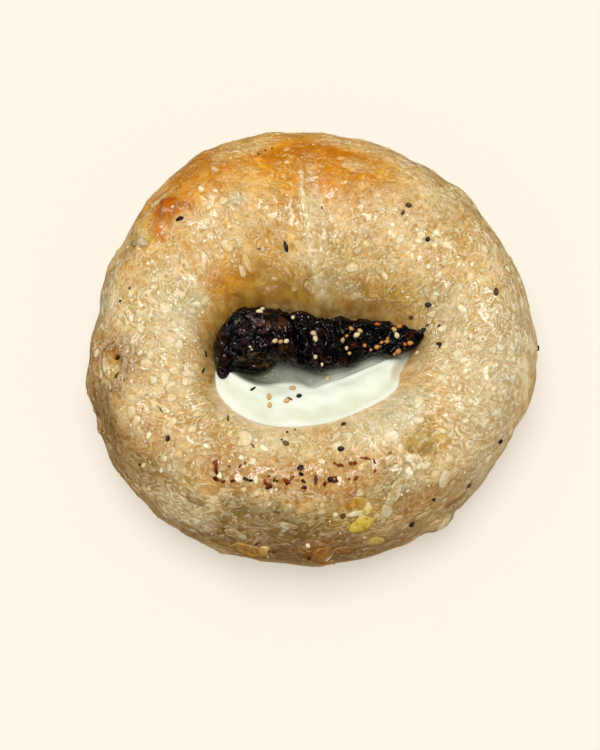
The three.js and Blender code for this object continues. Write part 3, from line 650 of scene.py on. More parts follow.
def crust_material():
    def paint(g):
        place = g.attribute("rest", "Vector")
        tint = g.attribute("tint", "Color")
        rich, sleek, side, baked = [g.attribute(name) for name in ("rich", "smooth", "side", "baked")]
        flow = skin_flow(g, place)
        cloud = g.noise(place, 0.2, 2.0, 0.5)
        puff = g.noise(flow, 0.45, 1.0, 0.4)
        rough = 1 - 0.8 * sleek
        showing = (1 - 0.5 * rich) * rough
        deep = g.colour(1.0, tint, (206, 186, 140), "MULTIPLY")
        light = g.colour(0.7 - 0.45 * rich, tint, CREAM_SKIN)
        colour = g.colour(g.limit(cloud, 0.62, 0.38, 0.0, 0.7), tint, deep)
        # Hollows of the puffs are mixed deeper and their crowns paler: painted shade and painted light
        # that follow the puffs' relief.
        colour = g.colour(g.limit(puff, 0.52, 0.36) * 0.5, colour, deep)
        colour = g.colour(g.limit(puff, 0.52, 0.66) * 0.3 * showing, colour, light)
        height = puff * 0.4 * (1 - 0.6 * sleek)
        for (dome, reach, there), rise, strength in zip(blister_fields(g, place), (0.12, 0.26, 0.2),
                                                        (0.6, 0.9, 0.8)):
            shown = there * baked * strength * (1 - 0.6 * sleek)
            halo = g.limit(reach, 1.0, 1.15) * g.limit(reach, 1.8, 1.25)
            # Each blister's pale outline is partly pale skin and partly a painted highlight on its rim.
            outline = g.limit(reach, 0.45, 0.85) * g.limit(reach, 1.15, 0.95)
            colour = g.colour(halo * shown * 0.45, colour, deep)
            colour = g.colour((outline * 0.8 + 0.25 * dome) * shown, colour, light)
            height = height + rise * dome * baked
        patch = g.limit(g.noise(place, 0.1, 2.0), 0.42, 0.56, 0.3, 1.0)
        gaps = g.limit(g.noise(place, 0.55, 1.0), 0.4, 0.52)
        curls = g.curls(place, 0.26, 44.0) * patch * gaps
        threads = g.veins(g.shifted(flow, puff, 0.5), 0.7, 0.15) * (1 - patch * 0.8)
        drawn_out = g.veins(g.stretched(flow, (0.5, 0.5, 1.4)), 0.35, 0.16) * side
        # Troughs between the curls are mixed deeper, as painted shade; the crests of the curls and
        # threads are mixed paler, as painted highlights along the ridges.
        lines = g.maths("MAXIMUM", curls, threads * 0.9)
        colour = g.colour((1 - curls) * patch * gaps * 0.5 * baked * rough, colour, deep)
        colour = g.colour(lines * 0.75 * baked * showing, colour, light)
        colour = g.colour(drawn_out * 0.2, colour, light)
        distance, (pick, size, _) = g.cells(flow, 0.8)
        bead = g.limit(distance, 0.26 + 0.12 * size, 0.12) * g.limit(pick, 0.7, 0.72) * showing
        colour = g.colour(bead * 0.7 * baked, colour, light)
        distance, (pick, _, _) = g.cells(place, 0.8)
        speck = g.limit(distance, 0.2, 0.12) * g.limit(pick, 0.96, 0.97)
        colour = g.colour(speck * 0.6, colour, (110, 60, 20))
        height = height + (0.2 * curls + 0.1 * threads) * rough + 0.06 * drawn_out + 0.2 * bead
        normal = g.bump(height * baked, 1.0, MM)
        roughness = g.limit(cloud, 0.35, 0.65, 0.16, 0.26) + 0.15 * side
        coat = 0.5 - 0.4 * side
        return {"Base Color": colour, "Roughness": roughness, "Normal": normal, "Coat Weight": coat}
    return material("baked_skin", paint, Subsurface_Weight=0.8, Subsurface_Radius=(1.0, 0.6, 0.3),
                    Subsurface_Scale=0.0014, Coat_Roughness=0.09, Specular_IOR_Level=0.45)


# ---------------------------------------------------------------- the cheese

CHEESE_FOOT = 0.6
CHEESE_LEVEL = 22.2
CHEESE_BANK = [(-18.5, -12.5), (-11, -18), (1, -18.2), (11, -15), (18, -10.5)]
CHEESE_TROUGH = [(-9, -11.5), (2, -12), (10, -9.5)]
# The smeared bank breaks off towards the fig along this curve, in plan.
LEDGE_X = [-19.5, -16.2, -13.3, -10.9, -6.6, -3.2, -0.4, 3.2, 7.6, 13.1, 18.3]
LEDGE_Y = [-10.4, -12.6, -13.5, -13.5, -13.2, -13.4, -13.8, -12.6, -11.0, -8.7, -6.7]
LEDGE_DROP = 1.3
LEDGE_LIP = 0.3
BANK_RISE, BANK_REACH = 1.9, 5.5
TROUGH_DEPTH, TROUGH_REACH = 0.4, 3.6
# Beyond the ledge the cheese is wet and darker: partly the wet cheese, partly painted shade under the
# fig.
WET_AND_SHADE_X = [-18, -15, -11, -7, 0, 6, 12]  # how wet and dark the cheese is beyond the ledge
WET_AND_SHADE_SHARE = [1.0, 1.0, 0.85, 0.75, 0.6, 0.3, 0.1]
INTO_WALL = 0.25
FAR_RIM_DROP = 2.2  # behind the fig the cheese lies lower


def path_distance(path, x, y):
    """Distance in plan from each point to a path of straight stretches."""
    nearest = np.full(x.shape, np.inf)
    for (ax, ay), (bx, by) in zip(path, path[1:]):
        dx, dy = bx - ax, by - ay
        t = np.clip(((x - ax) * dx + (y - ay) * dy) / (dx * dx + dy * dy), 0, 1)
        nearest = np.minimum(nearest, np.hypot(x - ax - t * dx, y - ay - t * dy))
    return nearest


def cheese_height(x, y):
    bank = BANK_RISE * falloff(path_distance(CHEESE_BANK, x, y) / BANK_REACH)
    beyond = y - through(LEDGE_X, LEDGE_Y, x)
    slope = falloff((x + 6) / 6.5)  # the middle of the ledge has slumped to a slope
    step = LEDGE_DROP * (1 - 0.4 * slope) * ramp(beyond, -0.3 - slope, 0.7 + 3.0 * slope)
    lip = LEDGE_LIP * (1 - slope) * falloff((beyond + 0.5) / 1.1)
    trough = TROUGH_DEPTH * falloff(path_distance(CHEESE_TROUGH, x, y) / TROUGH_REACH)
    strokes = 0.12 * np.sin(0.55 * x + 1.1 * y + np.sin(0.3 * x)) + 0.05 * np.sin(0.9 * x - 1.3 * y)
    return CHEESE_LEVEL + bank + lip - step - trough + strokes


def build_cheese():
    angles = np.arange(300) / 300 * math.tau
    lowest = 4 + 2 / math.pi * math.acos(1 - CHEESE_FOOT / INNER_WAIST)
    crest = round_curve(CREST_HEIGHT, angles)
    degrees = (np.degrees(angles) + 180) % 360 - 180
    behind = FAR_RIM_DROP * ramp(degrees, -24, -2) * (1 - ramp(degrees, 168, 178))
    rim = 2 / math.pi * np.arcsin((CHEESE_LEVEL + 0.5 - behind - INNER_WAIST) / (crest - INNER_WAIST))
    rings = []
    middle = np.array(HOLE_MIDDLE)
    for climb in np.linspace(0, 1, 12):
        wall = smooth_ring(angles, (lowest + (5 + rim - lowest) * climb) % 5)
        away = wall[:, :2] - middle
        reach = np.linalg.norm(away, axis=1, keepdims=True)
        wall[:, :2] = middle + away * (1 + INTO_WALL / reach)
        rings.append(wall)
    edge = rings[-1]
    for inward in np.linspace(0, 1, 76)[1:-1]:
        level = edge.copy()
        level[:, :2] = edge[:, :2] + (middle - edge[:, :2]) * inward
        settled = ramp(inward, 0, 0.14)
        level[:, 2] = edge[:, 2] + (cheese_height(level[:, 0], level[:, 1]) - edge[:, 2]) * settled
        rings.append(level)
    points = np.concatenate(rings)
    faces = grid_faces(len(rings), len(angles))[:, ::-1].tolist()
    top = len(points)
    last = top - len(angles)
    count = len(angles)
    faces += [(last + (k + 1) % count, last + k, top)[::-1] for k in range(count)]
    faces += [(k, (k + 1) % count, top + 1)[::-1] for k in range(count)]
    centre_height = float(cheese_height(middle[:1], middle[1:])[0])
    ends = np.array([[*middle, centre_height], [*middle, CHEESE_FOOT]])
    return new_object("smooth_cheese", np.concatenate([points, ends]), faces)


def cheese_material():
    def paint(g):
        place = g.attribute("rest", "Vector")
        slow = g.noise(place, 0.12, 3.0)
        colour = g.colour(g.limit(slow, 0.4, 0.65), (237, 241, 222), (228, 234, 210))
        wet_and_shade = g.attribute("wet_and_shade")
        # Darkened where wet: partly the wet cheese's own tone, partly painted shade under the fig.
        colour = g.colour(wet_and_shade, colour, (84, 82, 60))
        streak = g.noise(g.stretched(place, (1.0, 0.25, 1.0)), 1.1, 3.0, 0.55)
        folds = g.noise(place, 0.45, 2.0, distortion=1.2)
        normal = g.bump(streak * 0.35 + folds * (0.3 + 1.2 * wet_and_shade), 1.0, 0.0004)
        roughness = g.limit(slow, 0.35, 0.65, 0.38, 0.5) * (1 - 0.6 * wet_and_shade)
        return {"Base Color": colour, "Roughness": roughness, "Normal": normal}
    return material("fresh_cheese", paint, Subsurface_Weight=0.35, Subsurface_Radius=(1.0, 0.9, 0.7),
                    Subsurface_Scale=0.002, Specular_IOR_Level=0.4)


# ---------------------------------------------------------------- the fig

FIG_X = [-23.4, -22.4, -20, -15, -9, -4, 0.5, 5, 9.5, 13, 17, 21, 24.2, 25.8]
FIG_FAR = [-2.4, 1.2, 4.2, 5.5, 5.3, 4.0, 3.1, 2.6, 2.4, 2.6, 1.9, 1.0, 0.1, -0.9]
FIG_NEAR = [-7.6, -9.3, -10.2, -9.5, -8.2, -9.4, -10.6, -9.7, -9.2, -7.4, -7.0, -7.0, -5.9, -4.1]
FIG_TOP = [25.6, 27.8, 29.6, 30.4, 30.0, 28.8, 28.6, 28.0, 27.6, 27.4, 27.4, 27.6, 27.8, 27.8]
FIG_UNDER = [24.0, 22.2, 20.9, 20.5, 20.4, 20.5, 20.4, 20.6, 21.0, 21.6, 22.4, 23.8, 25.2, 26.4]
FIG_BOXINESS = 0.8
FIG_CLOSING = 0.3
FIG_LIMBS = [  # middle, half sizes and heading
    ((-21.0, -8.9, 23.4), (2.1, 3.2, 2.0), -14), ((-14.0, -7.6, 22.9), (5.6, 2.7, 1.7), 8),
]
FIG_VOXEL = 0.2

# Folds of the dried skin as paths in plan, with their half width and depth (a ridge is below 0).
FIG_GROOVES = [
    ([(-20.2, -9.4), (-20.4, -6), (-19.6, -2), (-17.6, 1.6), (-13.4, 3.6), (-9, 3.2)], 0.8, 0.8),
    ([(-21.8, -8), (-21.8, -4), (-20.9, 0), (-18.6, 3)], 0.7, -0.4),
    ([(-9.6, 3.8), (-6.6, 2.2), (-4.9, -0.6), (-4.2, -4), (-4.6, -7.4)], 0.7, 0.9),
    ([(-8.0, 4.4), (-5.0, 2.4), (-3.2, -1.0), (-2.6, -5), (-3.0, -8.4)], 0.6, 0.7),
    ([(-11.4, 4.9), (-7, 4.6), (-3.6, 2.6), (-1.4, -1), (-0.6, -5.5), (-1.2, -9)], 0.6, 0.6),
    ([(2.4, 2.2), (3.2, -1.6), (4.6, -5.2), (4.9, -8.6)], 0.7, 0.6),
    ([(5.0, 1.6), (6.2, -2.3), (7.6, -5.1), (8.0, -8.4)], 0.8, 0.8),
    ([(-15, 4.6), (-8, 3.9), (-2, 2.6), (6, 1.5)], 0.7, 0.6),
    ([(7, -6.4), (11, -6.0), (14.5, -6.2)], 0.6, 0.6),
    ([(-17.8, -7.6), (-14, -6.6), (-10, -6.4), (-7, -5.2)], 0.7, 0.7),
    ([(-16.4, -6.2), (-13.4, -3.6), (-12.6, -1.8)], 0.5, 0.35),
]
# The blue-grey tones are painted sheen on the wet skin; the grey-mauve ones on the blunt end are partly
# waxy bloom, partly painted sheen.
FIG_TINTS = [  # middle in plan, reach in x and y, tone and strength
    (-14.4, -0.6, 5.2, 3.8, (104, 76, 66), 0.8), (-13.2, 1.6, 3.0, 1.4, (134, 104, 96), 0.55),
    (-9.9, 0.4, 2.4, 2.6, (112, 60, 44), 0.7), (-14.5, -5.2, 5.0, 1.8, (74, 50, 62), 0.7),
    (-10.5, -4.4, 3.6, 2.4, (62, 38, 28), 0.6), (-22.0, -4.0, 1.4, 5.0, (84, 50, 32), 0.6),
    (-21.5, -9.5, 2.0, 2.4, (84, 30, 20), 0.7), (-13.0, -8.2, 5.0, 1.0, (124, 92, 52), 0.7),
    (-7.6, 3.9, 6.0, 1.0, (110, 56, 30), 0.6), (-7.4, -2.0, 1.6, 4.4, (88, 48, 26), 0.7),
    (-5.6, -7.0, 1.6, 2.2, (120, 70, 36), 0.6), (0.6, -4.0, 2.4, 4.0, (56, 28, 20), 0.7),
    (3.6, -0.6, 1.8, 3.0, (52, 38, 42), 0.7), (1.8, -8.8, 2.0, 1.2, (104, 52, 26), 0.6),
    (6.6, -9.0, 1.6, 1.6, (112, 58, 26), 0.6), (8.0, 2.2, 5.0, 0.7, (96, 40, 20), 0.6),
    (10.4, -5.4, 4.4, 1.3, (112, 22, 20), 0.85), (22.6, -2.6, 1.6, 0.6, (150, 54, 22), 0.7),
    (-19.2, -0.6, 1.5, 3.2, (48, 66, 92), 0.65), (-17.6, 0.6, 0.8, 0.9, (176, 152, 92), 0.7),
    (21.6, -1.2, 2.4, 1.0, (26, 44, 66), 0.6), (14.0, -1.6, 5.0, 2.2, (22, 28, 36), 0.5),
]
FIG_SKIN = (6, 3, 3)
# Near-black painted shade that is laid into the fig's creases and grooves.
FIG_CREASE_SHADE = (5, 3, 3)
FIG_LONG_FOLDS = 0.9
FIG_FINE_FOLDS = 0.22
FIG_BLUNT_END = (-15.5, -3.0)  # the folds run round this place
FIG_CALM = (-14, -0.4, 5.5, 4.2)  # middle and reaches of the smoothest patch


def fig_shape():
    """The fig's body as a closed tube of sections, with its limbs."""
    shares = np.linspace(0, 1, 240)[1:-1]
    turns = np.arange(160) / 160 * math.tau
    share, turn = np.meshgrid(shares, turns, indexing="ij")
    x = FIG_X[0] + (FIG_X[-1] - FIG_X[0]) * (1 - np.cos(math.pi * share)) / 2
    far, near, top, under = [through(FIG_X, row, x) for row in (FIG_FAR, FIG_NEAR, FIG_TOP, FIG_UNDER)]
    closing = np.sin(math.pi * share) ** FIG_CLOSING
    cosine, sine = np.cos(turn), np.sin(turn)
    y = (far + near) / 2 + (far - near) / 2 * closing * np.sign(cosine) * np.abs(cosine) ** FIG_BOXINESS
    z = (top + under) / 2 + (top - under) / 2 * closing * np.sign(sine) * np.abs(sine) ** FIG_BOXINESS
    points = np.stack([x, y, z], axis=-1).reshape(-1, 3)
    rows, columns = share.shape
    faces = grid_faces(rows, columns).tolist()
    faces.append(list(range(columns)))
    faces.append([(rows - 1) * columns + k for k in range(columns)][::-1])
    fig = new_object("dried_fig", points, faces)
    shape = bmesh.new()
    shape.from_mesh(fig.data)
    for middle, half, heading in FIG_LIMBS:
        turn = Matrix.Rotation(math.radians(heading), 4, "Z")
        grow = Matrix.Diagonal((*half, 1))
        bmesh.ops.create_icosphere(shape, subdivisions=4, radius=1,
                                   matrix=Matrix.Translation(middle) @ turn @ grow)
    bmesh.ops.recalc_face_normals(shape, faces=shape.faces)
    shape.to_mesh(fig.data)
    shape.free()
    return fig


def remesh(obj, voxel, rounds=0):
    """One even skin round all that obj holds, smoothed that many rounds."""
    modifier = obj.modifiers.new("even_mesh", "REMESH")
    modifier.mode = "VOXEL"
    modifier.voxel_size = voxel
    if rounds:
        obj.modifiers.new("melt", "SMOOTH").iterations = rounds
    settle(obj, keep_layers=False)


def billow(places, seed):
    """A noise that is 0 in sharp creases and rises between them."""
    shift = Vector((seed * 5.1, seed * 2.3, seed * 3.9))
    return np.abs([noise.noise(Vector(p) + shift) for p in places]) * 2


def skin_folds(points, scale, seed):
    """Folds that run round the blunt end and slant over the rest of the fig."""
    x, y, z = points.T
    away_x, away_y = x - FIG_BLUNT_END[0], y - FIG_BLUNT_END[1]
    from_end, bearing = np.hypot(away_x, away_y), np.arctan2(away_y, away_x)
    rounds = np.stack([from_end * 0.62, bearing * 1.1, z * 0.3], axis=1)
    slants = np.stack([(0.9 * x + 0.4 * y) * 0.66, (0.4 * x - 0.9 * y) * 0.2, z * 0.3], axis=1)
    along = ramp(x, 6, 10)[:, None] * (np.stack([x * 0.45, y * 0.7, z * 0.3], axis=1) - slants)
    share = ramp(x, -10, -7)
    return (1 - share) * billow(rounds * scale, seed) + share * billow((slants + along) * scale, seed + 1)


def fold_fig(fig):
    """Presses the folds into the fig's skin and paints its tones, with painted shade in the creases and
    grooves.
    """
    mesh = fig.data
    points = points_of(mesh)
    normals = np.array([v.normal[:] for v in mesh.vertices])
    warped = points + 0.9 * wobble(points, 3.0, 4)
    upward = ramp(normals[:, 2], -0.3, 0.3)
    x, y, reach_x, reach_y = FIG_CALM
    calm = 1 - 0.75 * falloff(np.hypot((points[:, 0] - x) / reach_x, (points[:, 1] - y) / reach_y))
    long, fine = skin_folds(warped, 0.62, 1), skin_folds(warped, 1.5, 5)
    out = calm * (FIG_LONG_FOLDS * (long - 0.5) + FIG_FINE_FOLDS * (fine - 0.5))
    tone = np.tile(linear(FIG_SKIN), (len(points), 1))
    for x, y, reach_x, reach_y, patch, strength in FIG_TINTS:
        distance = np.hypot((warped[:, 0] - x) / reach_x, (warped[:, 1] - y) / reach_y)
        weight = strength * (1 - 0.5 * ramp(x, 6, 12)) * np.sqrt(falloff(distance / 1.3))[:, None]
        weight = weight * upward[:, None]
        tone += weight * (linear(patch) - tone)
    # Creases between the folds are darkened: painted crease shade.
    crease_shade = 1 - ramp(long, 0.08, 0.5) * ramp(fine, 0.0, 0.35)
    tone += (0.85 * calm * crease_shade)[:, None] * (linear(FIG_CREASE_SHADE) - tone)
    # Grooves are pressed in, and the deep ones are darkened with painted crease shade.
    for path, half_width, depth in FIG_GROOVES:
        press = falloff(path_distance(path, warped[:, 0], warped[:, 1]) / half_width)
        out -= depth * press
        if depth > 0:
            tone += 0.9 * press[:, None] * (linear(FIG_CREASE_SHADE) - tone)
    moved = points + normals * (out * upward)[:, None]
    mesh.vertices.foreach_set("co", moved.ravel())
    mesh.update()
    paint_points(mesh, "tint", tone)
    paint_places(mesh, "rest", points)


def fig_material():
    def paint(g):
        place = g.attribute("rest", "Vector")
        tint = g.attribute("tint", "Color")
        cloud = g.noise(place, 0.5, 4.0, 0.65)
        fine = g.noise(g.stretched(place, (0.6, 1.0, 1.0)), 1.8, 4.0, 0.65, 0.6)
        colour = g.colour(g.limit(cloud, 0.42, 0.6, 1.0, 0.0), tint, (3, 2, 2))
        colour = g.colour(g.limit(fine, 0.6, 0.75, 0.0, 0.07), colour, (100, 56, 36))
        wrinkle = g.limit(abs(g.noise(place, 0.9, 1.0, distortion=1.0) - 0.5), 0.0, 0.14)
        creases = g.curls(g.stretched(place, (1.0, 0.7, 1.0)), 0.22, 26.0)
        grain = g.noise(place, 2.6, 1.0)
        # The wrinkle lines, which the bump sets low, are darkened: painted crease shade.
        colour = g.colour((1 - wrinkle) * 0.4, colour, (2, 1, 1))
        normal = g.bump(wrinkle * 0.4 + fine * 0.25 + creases * 0.5 + grain * 0.12, 1.0, 0.0004)
        roughness = g.limit(cloud, 0.35, 0.7, 0.07, 0.13)
        gloss = wrinkle * g.limit(fine, 0.40, 0.56, 0.1, 1.0)
        return {"Base Color": colour, "Roughness": roughness, "Normal": normal, "Coat Weight": gloss}
    return material("sticky_skin", paint, Coat_Roughness=0.08, Specular_IOR_Level=0.1)


# ---------------------------------------------------------------- seeds and toppings

ABOVE_ALL = 80  # a height well above the bagel, from which rays are sent down
OFF_THE_SKIN = 6  # how far out of the smooth ring a ray towards it starts


class Ground:
    """A finished surface that toppings are put down on."""

    def __init__(self, obj):
        mesh = obj.data
        self.faces = [tuple(p.vertices) for p in mesh.polygons]
        self.tree = BVHTree.FromPolygons([v.co for v in mesh.vertices], self.faces)
        self.tint = tones_of(mesh) if "tint" in mesh.attributes else None

    def under(self, points):
        """The ground's tone by each point, and the point's height above it."""
        found = [self.tree.find_nearest(Vector(p)) for p in points]
        height = [(Vector(p) - place).dot(normal) for p, (place, normal, _, _) in zip(points, found)]
        return self.tint[[self.faces[face][0] for _, _, face, _ in found]], np.array(height)

    def below(self, x, y):
        return self.tree.ray_cast(Vector((x, y, ABOVE_ALL)), Vector((0, 0, -1)))[:2]

    def beside(self, x, y, z):
        return self.tree.find_nearest(Vector((x, y, z)))[:2]

    def on_ring(self, degrees, at):
        angle = math.radians(degrees)
        start = Vector(smooth_ring(angle, at))
        normal = Vector(ring_normal(angle, at))
        return self.tree.ray_cast(start + normal * OFF_THE_SKIN, -normal)[:2]


def lie(place, normal, heading, scale, sink=0.0):
    """The matrix that lays a thing on a surface, its length turned to heading in plan."""
    turn = math.radians(heading)
    side = normal.cross(Vector((math.cos(turn), math.sin(turn), 0))).normalized()
    axes = Matrix((side.cross(normal), side, normal)).transposed().to_4x4()
    return Matrix.Translation(place - normal * sink) @ axes @ Matrix.Diagonal((*scale, 1))


def ball(detail, reshape):
    """The vertices and faces of a ball of radius 1, each vertex moved by reshape."""
    shape = bmesh.new()
    bmesh.ops.create_icosphere(shape, subdivisions=detail, radius=1)
    for vertex in shape.verts:
        vertex.co = reshape(vertex.co)
    vertices = np.array([v.co[:] for v in shape.verts])
    faces = np.array([[v.index for v in f.verts] for f in shape.faces])
    shape.free()
    return vertices, faces


def seed_shape(pointed):
    """A seed of half sizes 1, drawn out to a point at its +X end."""
    def squeezed(place):
        share = 1 - pointed * max(0.0, place.x) ** 1.5
        return Vector((place.x, place.y * share, place.z * share))
    return ball(2, squeezed)


def chip_shape(seed, detail=3, rough=0.35):
    """An uneven chip or flake of half sizes 1."""
    shift = Vector((seed * 3.7, seed * 1.9, seed * 2.3))
    return ball(detail, lambda place: place * (1 + rough * noise.noise(place * 1.4 + shift) * 1.6))


def joined(name, shapes, frames, tones):
    """One object of many copies: shapes are taken in turn, each with its frame and tone."""
    points, faces, paint, local, count = [], [], [], [], 0
    for k, (matrix, tone) in enumerate(zip(frames, tones)):
        vertices, corners = shapes[k % len(shapes)]
        turn = np.array(matrix)
        points.append(vertices @ turn[:3, :3].T + turn[:3, 3])
        faces.append(corners + count)
        paint.append(np.tile(linear(tone), (len(vertices), 1)))
        local.append(vertices)
        count += len(vertices)
    obj = new_object(name, np.concatenate(points), np.concatenate(faces).tolist())
    paint_points(obj.data, "tint", np.concatenate(paint))
    paint_points(obj.data, "local", np.concatenate(local) * 0.5 + 0.5)
    return obj


BLACK = (22, 18, 18)
BROWN = (92, 60, 34)
DARK_RED = (92, 22, 10)
CREAM = (240, 220, 168)
WHEAT = (224, 178, 104)
RUST = (220, 144, 62)
EMBER_SEED = (200, 98, 24)

ROD = (1.5, 0.55, 0.5)
SPECK = (0.4, 0.33, 0.3)
# Seeds on the crust: ring angle, section place, heading, half sizes and tone.
CRUST_SEEDS = [
    (103, 0.72, 98, ROD, BLACK), (58, 1.17, 10, (0.95, 0.72, 0.45), BROWN),
    (59, 1.10, 60, (0.8, 0.42, 0.4), BROWN), (47, 1.04, 60, (0.72, 0.58, 0.45), BLACK),
    (15, 1.30, 75, (1.15, 0.72, 0.45), BROWN), (32, 0.64, 0, (0.85, 0.62, 0.5), BLACK),
    (37, 0.42, 20, (0.62, 0.55, 0.4), BROWN), (24, 0.46, 20, (0.85, 0.6, 0.45), BLACK),
    (24, 0.53, 20, (0.7, 0.2, 0.25), BLACK), (5, 0.70, 165, (0.8, 0.5, 0.45), BLACK),
    (3, 0.72, 60, (0.6, 0.3, 0.3), BLACK), (17, 0.68, 0, (0.45, 0.35, 0.3), BROWN),
    (2, 1.00, 0, (0.28, 0.24, 0.3), BLACK), (0, 1.12, 0, (0.26, 0.22, 0.3), BLACK),
    (358, 1.92, 90, (0.8, 0.45, 0.4), BLACK), (174, 0.38, 95, (0.9, 0.3, 0.3), BLACK),
    (189, 0.44, 70, (0.8, 0.3, 0.3), BLACK), (226, 0.48, 80, (1.1, 0.28, 0.3), BROWN),
    (209, 1.04, 130, (0.85, 0.16, 0.2), BLACK), (219, 1.14, 80, (0.72, 0.58, 0.45), BLACK),
    (220, 1.52, 40, (0.75, 0.55, 0.45), CREAM), (219, 1.55, 20, (0.4, 0.3, 0.35), BROWN),
    (260, 0.16, 75, (1.0, 0.7, 0.55), BROWN), (284, 0.42, 75, (0.82, 0.62, 0.45), DARK_RED),
    (280, 0.76, 10, (0.85, 0.72, 0.55), BLACK), (256, 0.62, 150, (0.95, 0.65, 0.4), UMBER),
    (255, 0.44, 0, (0.32, 0.28, 0.3), BLACK), (254, 0.58, 0, (0.3, 0.28, 0.3), BLACK),
    (258, 0.36, 0, (0.26, 0.22, 0.3), BROWN), (244, 0.72, 120, (0.8, 0.18, 0.2), BLACK),
    (252, 1.18, 70, (0.8, 0.62, 0.5), CREAM), (259, 1.32, 170, (0.85, 0.22, 0.3), BROWN),
    (278, 1.38, 60, (0.78, 0.6, 0.5), BROWN), (276, 1.36, 20, (0.72, 0.6, 0.5), CREAM),
    (296, 1.70, 45, (0.72, 0.66, 0.5), BLACK), (304, 1.56, 60, (0.5, 0.4, 0.4), BLACK),
    (315, 1.80, 30, (0.8, 0.55, 0.45), BROWN), (329, 1.70, 60, (0.7, 0.58, 0.45), BLACK),
    (299, 0.98, 20, (0.5, 0.4, 0.35), EMBER_SEED), (260, 1.78, 60, (0.4, 0.3, 0.35), BROWN),
    (269, 1.80, 60, (0.85, 0.5, 0.45), DARK_RED), (165, 1.28, 40, SPECK, BROWN),
    (170, 1.36, 10, SPECK, BLACK), (112, 0.70, 0, (0.55, 0.5, 0.35), CREAM),
    (113, 0.71, 170, (0.8, 0.18, 0.2), BROWN), (88, 1.00, 110, (0.4, 0.2, 0.2), BLACK),
    (104, 1.44, 40, (0.3, 0.2, 0.3), BROWN), (106, 1.40, 20, (0.3, 0.2, 0.3), BROWN),
    (102, 1.46, 60, (0.3, 0.2, 0.3), BROWN),
]
CHEESE_SEEDS = [  # place in plan, heading, half sizes and tone
    (-14.3, -14.7, 35, (0.85, 0.32, 0.35), BLACK), (-10.5, -16.6, 95, (0.9, 0.6, 0.45), WHEAT),
    (-10.3, -18.6, 80, (0.7, 0.55, 0.45), WHEAT), (-6.3, -17.6, 20, (0.85, 0.6, 0.45), WHEAT),
    (-5.6, -17.1, 145, (0.8, 0.22, 0.35), BLACK), (-4.9, -14.1, 10, (0.85, 0.7, 0.45), WHEAT),
    (-3.4, -16.3, 30, (0.72, 0.6, 0.45), BLACK), (3.3, -10.9, 80, (0.85, 0.65, 0.5), CREAM),
]
FIG_SEED_HALF = (0.72, 0.55, 0.45)
FIG_SEED_HEIGHT = 26
PALE_FROM = 260  # the sum of a tone's channels, above which a seed counts as pale
# Seeds on the fig: places in plan and size, for each tone.
FIG_SEEDS = [
    (CREAM, [(-12.8, 2.7, 1.2), (-12.2, 4.0, 0.9), (-4.9, 1.6, 0.85), (-9.1, -4.5, 1), (-6.4, -4.5, 1),
             (0, -2.5, 1.15), (0.4, -3.8, 1.15), (0.4, -8.1, 0.95), (2.0, -9.5, 0.7), (7.9, -5.4, 0.95),
             (10.3, -2.4, 1.25), (19.7, -2.4, 1.2), (-14.9, -5.9, 0.5), (-14.5, -6.5, 0.45),
             (24.6, -6.2, 0.9)]),
    (WHEAT, [(-7.7, -4.7, 0.9), (11.0, -1.3, 1.0), (7.0, -3.5, 1.0), (19.1, -1.1, 1.05),
             (8.6, -6.8, 0.8)]),
    (RUST, [(8.9, -0.7, 0.95), (7.9, -2.6, 0.7), (20.4, -0.3, 1.1), (16.1, -4.0, 0.8), (17.4, -4.0, 0.95),
            (12.1, -4.9, 0.9), (13.6, -5.6, 0.7), (15.0, -5.3, 1.0), (22.9, -4.5, 1.1), (20.0, -6.1, 1.2),
            (19.1, -6.8, 0.6), (17.6, -3.0, 0.6)]),
    (EMBER_SEED, [(15.1, 0.3, 1.05), (21.7, -4.5, 0.8)]),
    (BLACK, [(25.2, -1.9, 1.0), (26.0, -1.0, 0.7)]),
]


def speckled_material(name, roughness, gloss, back_highlight):
    """Seeds: each has its own tone, with a painted highlight on the middle of its back."""
    def paint(g):
        tint = g.attribute("tint", "Color")
        local = g.attribute("local", "Vector")
        grain = g.noise(local, 7.0, 2.0)
        colour = g.colour(g.limit(grain, 0.35, 0.65, 0.0, 0.35), tint, (40, 22, 12))
        away = g.vector("DISTANCE", local, (0.5, 0.5, 1.0), out=1)
        light = g.colour(0.5, tint, (214, 176, 120))
        colour = g.colour(g.limit(away, 0.42, 0.1) * back_highlight, colour, light)
        return {"Base Color": colour, "Normal": g.bump(grain, 0.3, 0.0002)}
    return material(name, paint, Roughness=roughness, Coat_Weight=gloss, Coat_Roughness=0.2,
                    Specular_IOR_Level=0.2)


def build_seeds(crust, cheese, fig):
    draw = random.Random(3)
    dark, pale = ([], []), ([], [])

    def put(ground, heading, half, tone):
        frames, tones = pale if sum(tone) > PALE_FROM else dark
        frames.append(lie(*ground, heading, half, sink=-0.25 * half[2]))
        shade = draw.uniform(0.9, 1.06)
        tones.append(tuple(value * shade for value in tone))

    for degrees, at, heading, half, tone in CRUST_SEEDS:
        put(crust.on_ring(degrees, at), heading, half, tone)
    for x, y, heading, half, tone in CHEESE_SEEDS:
        put(cheese.below(x, y), heading, half, tone)
    for tone, places in FIG_SEEDS:
        for x, y, size in places:
            grounds = fig.below(x, y), crust.below(x, y), fig.beside(x, y, FIG_SEED_HEIGHT)
            ground = next(found for found in grounds if found[0])
            put(ground, draw.uniform(0, 360), [size * h for h in FIG_SEED_HALF], tone)
    shapes = [seed_shape(0.5), seed_shape(0.2), seed_shape(0.35)]
    pieces = []
    for name, (frames, tones), gloss, back_highlight in (("dark_seeds", dark, 0.15, 0.15),
                                                ("pale_seeds", pale, 0.3, 0.6)):
        seeds = joined(name, shapes, frames, tones)
        seeds.data.materials.append(speckled_material(name, 0.4, gloss, back_highlight))
        pieces.append(seeds)
    return pieces


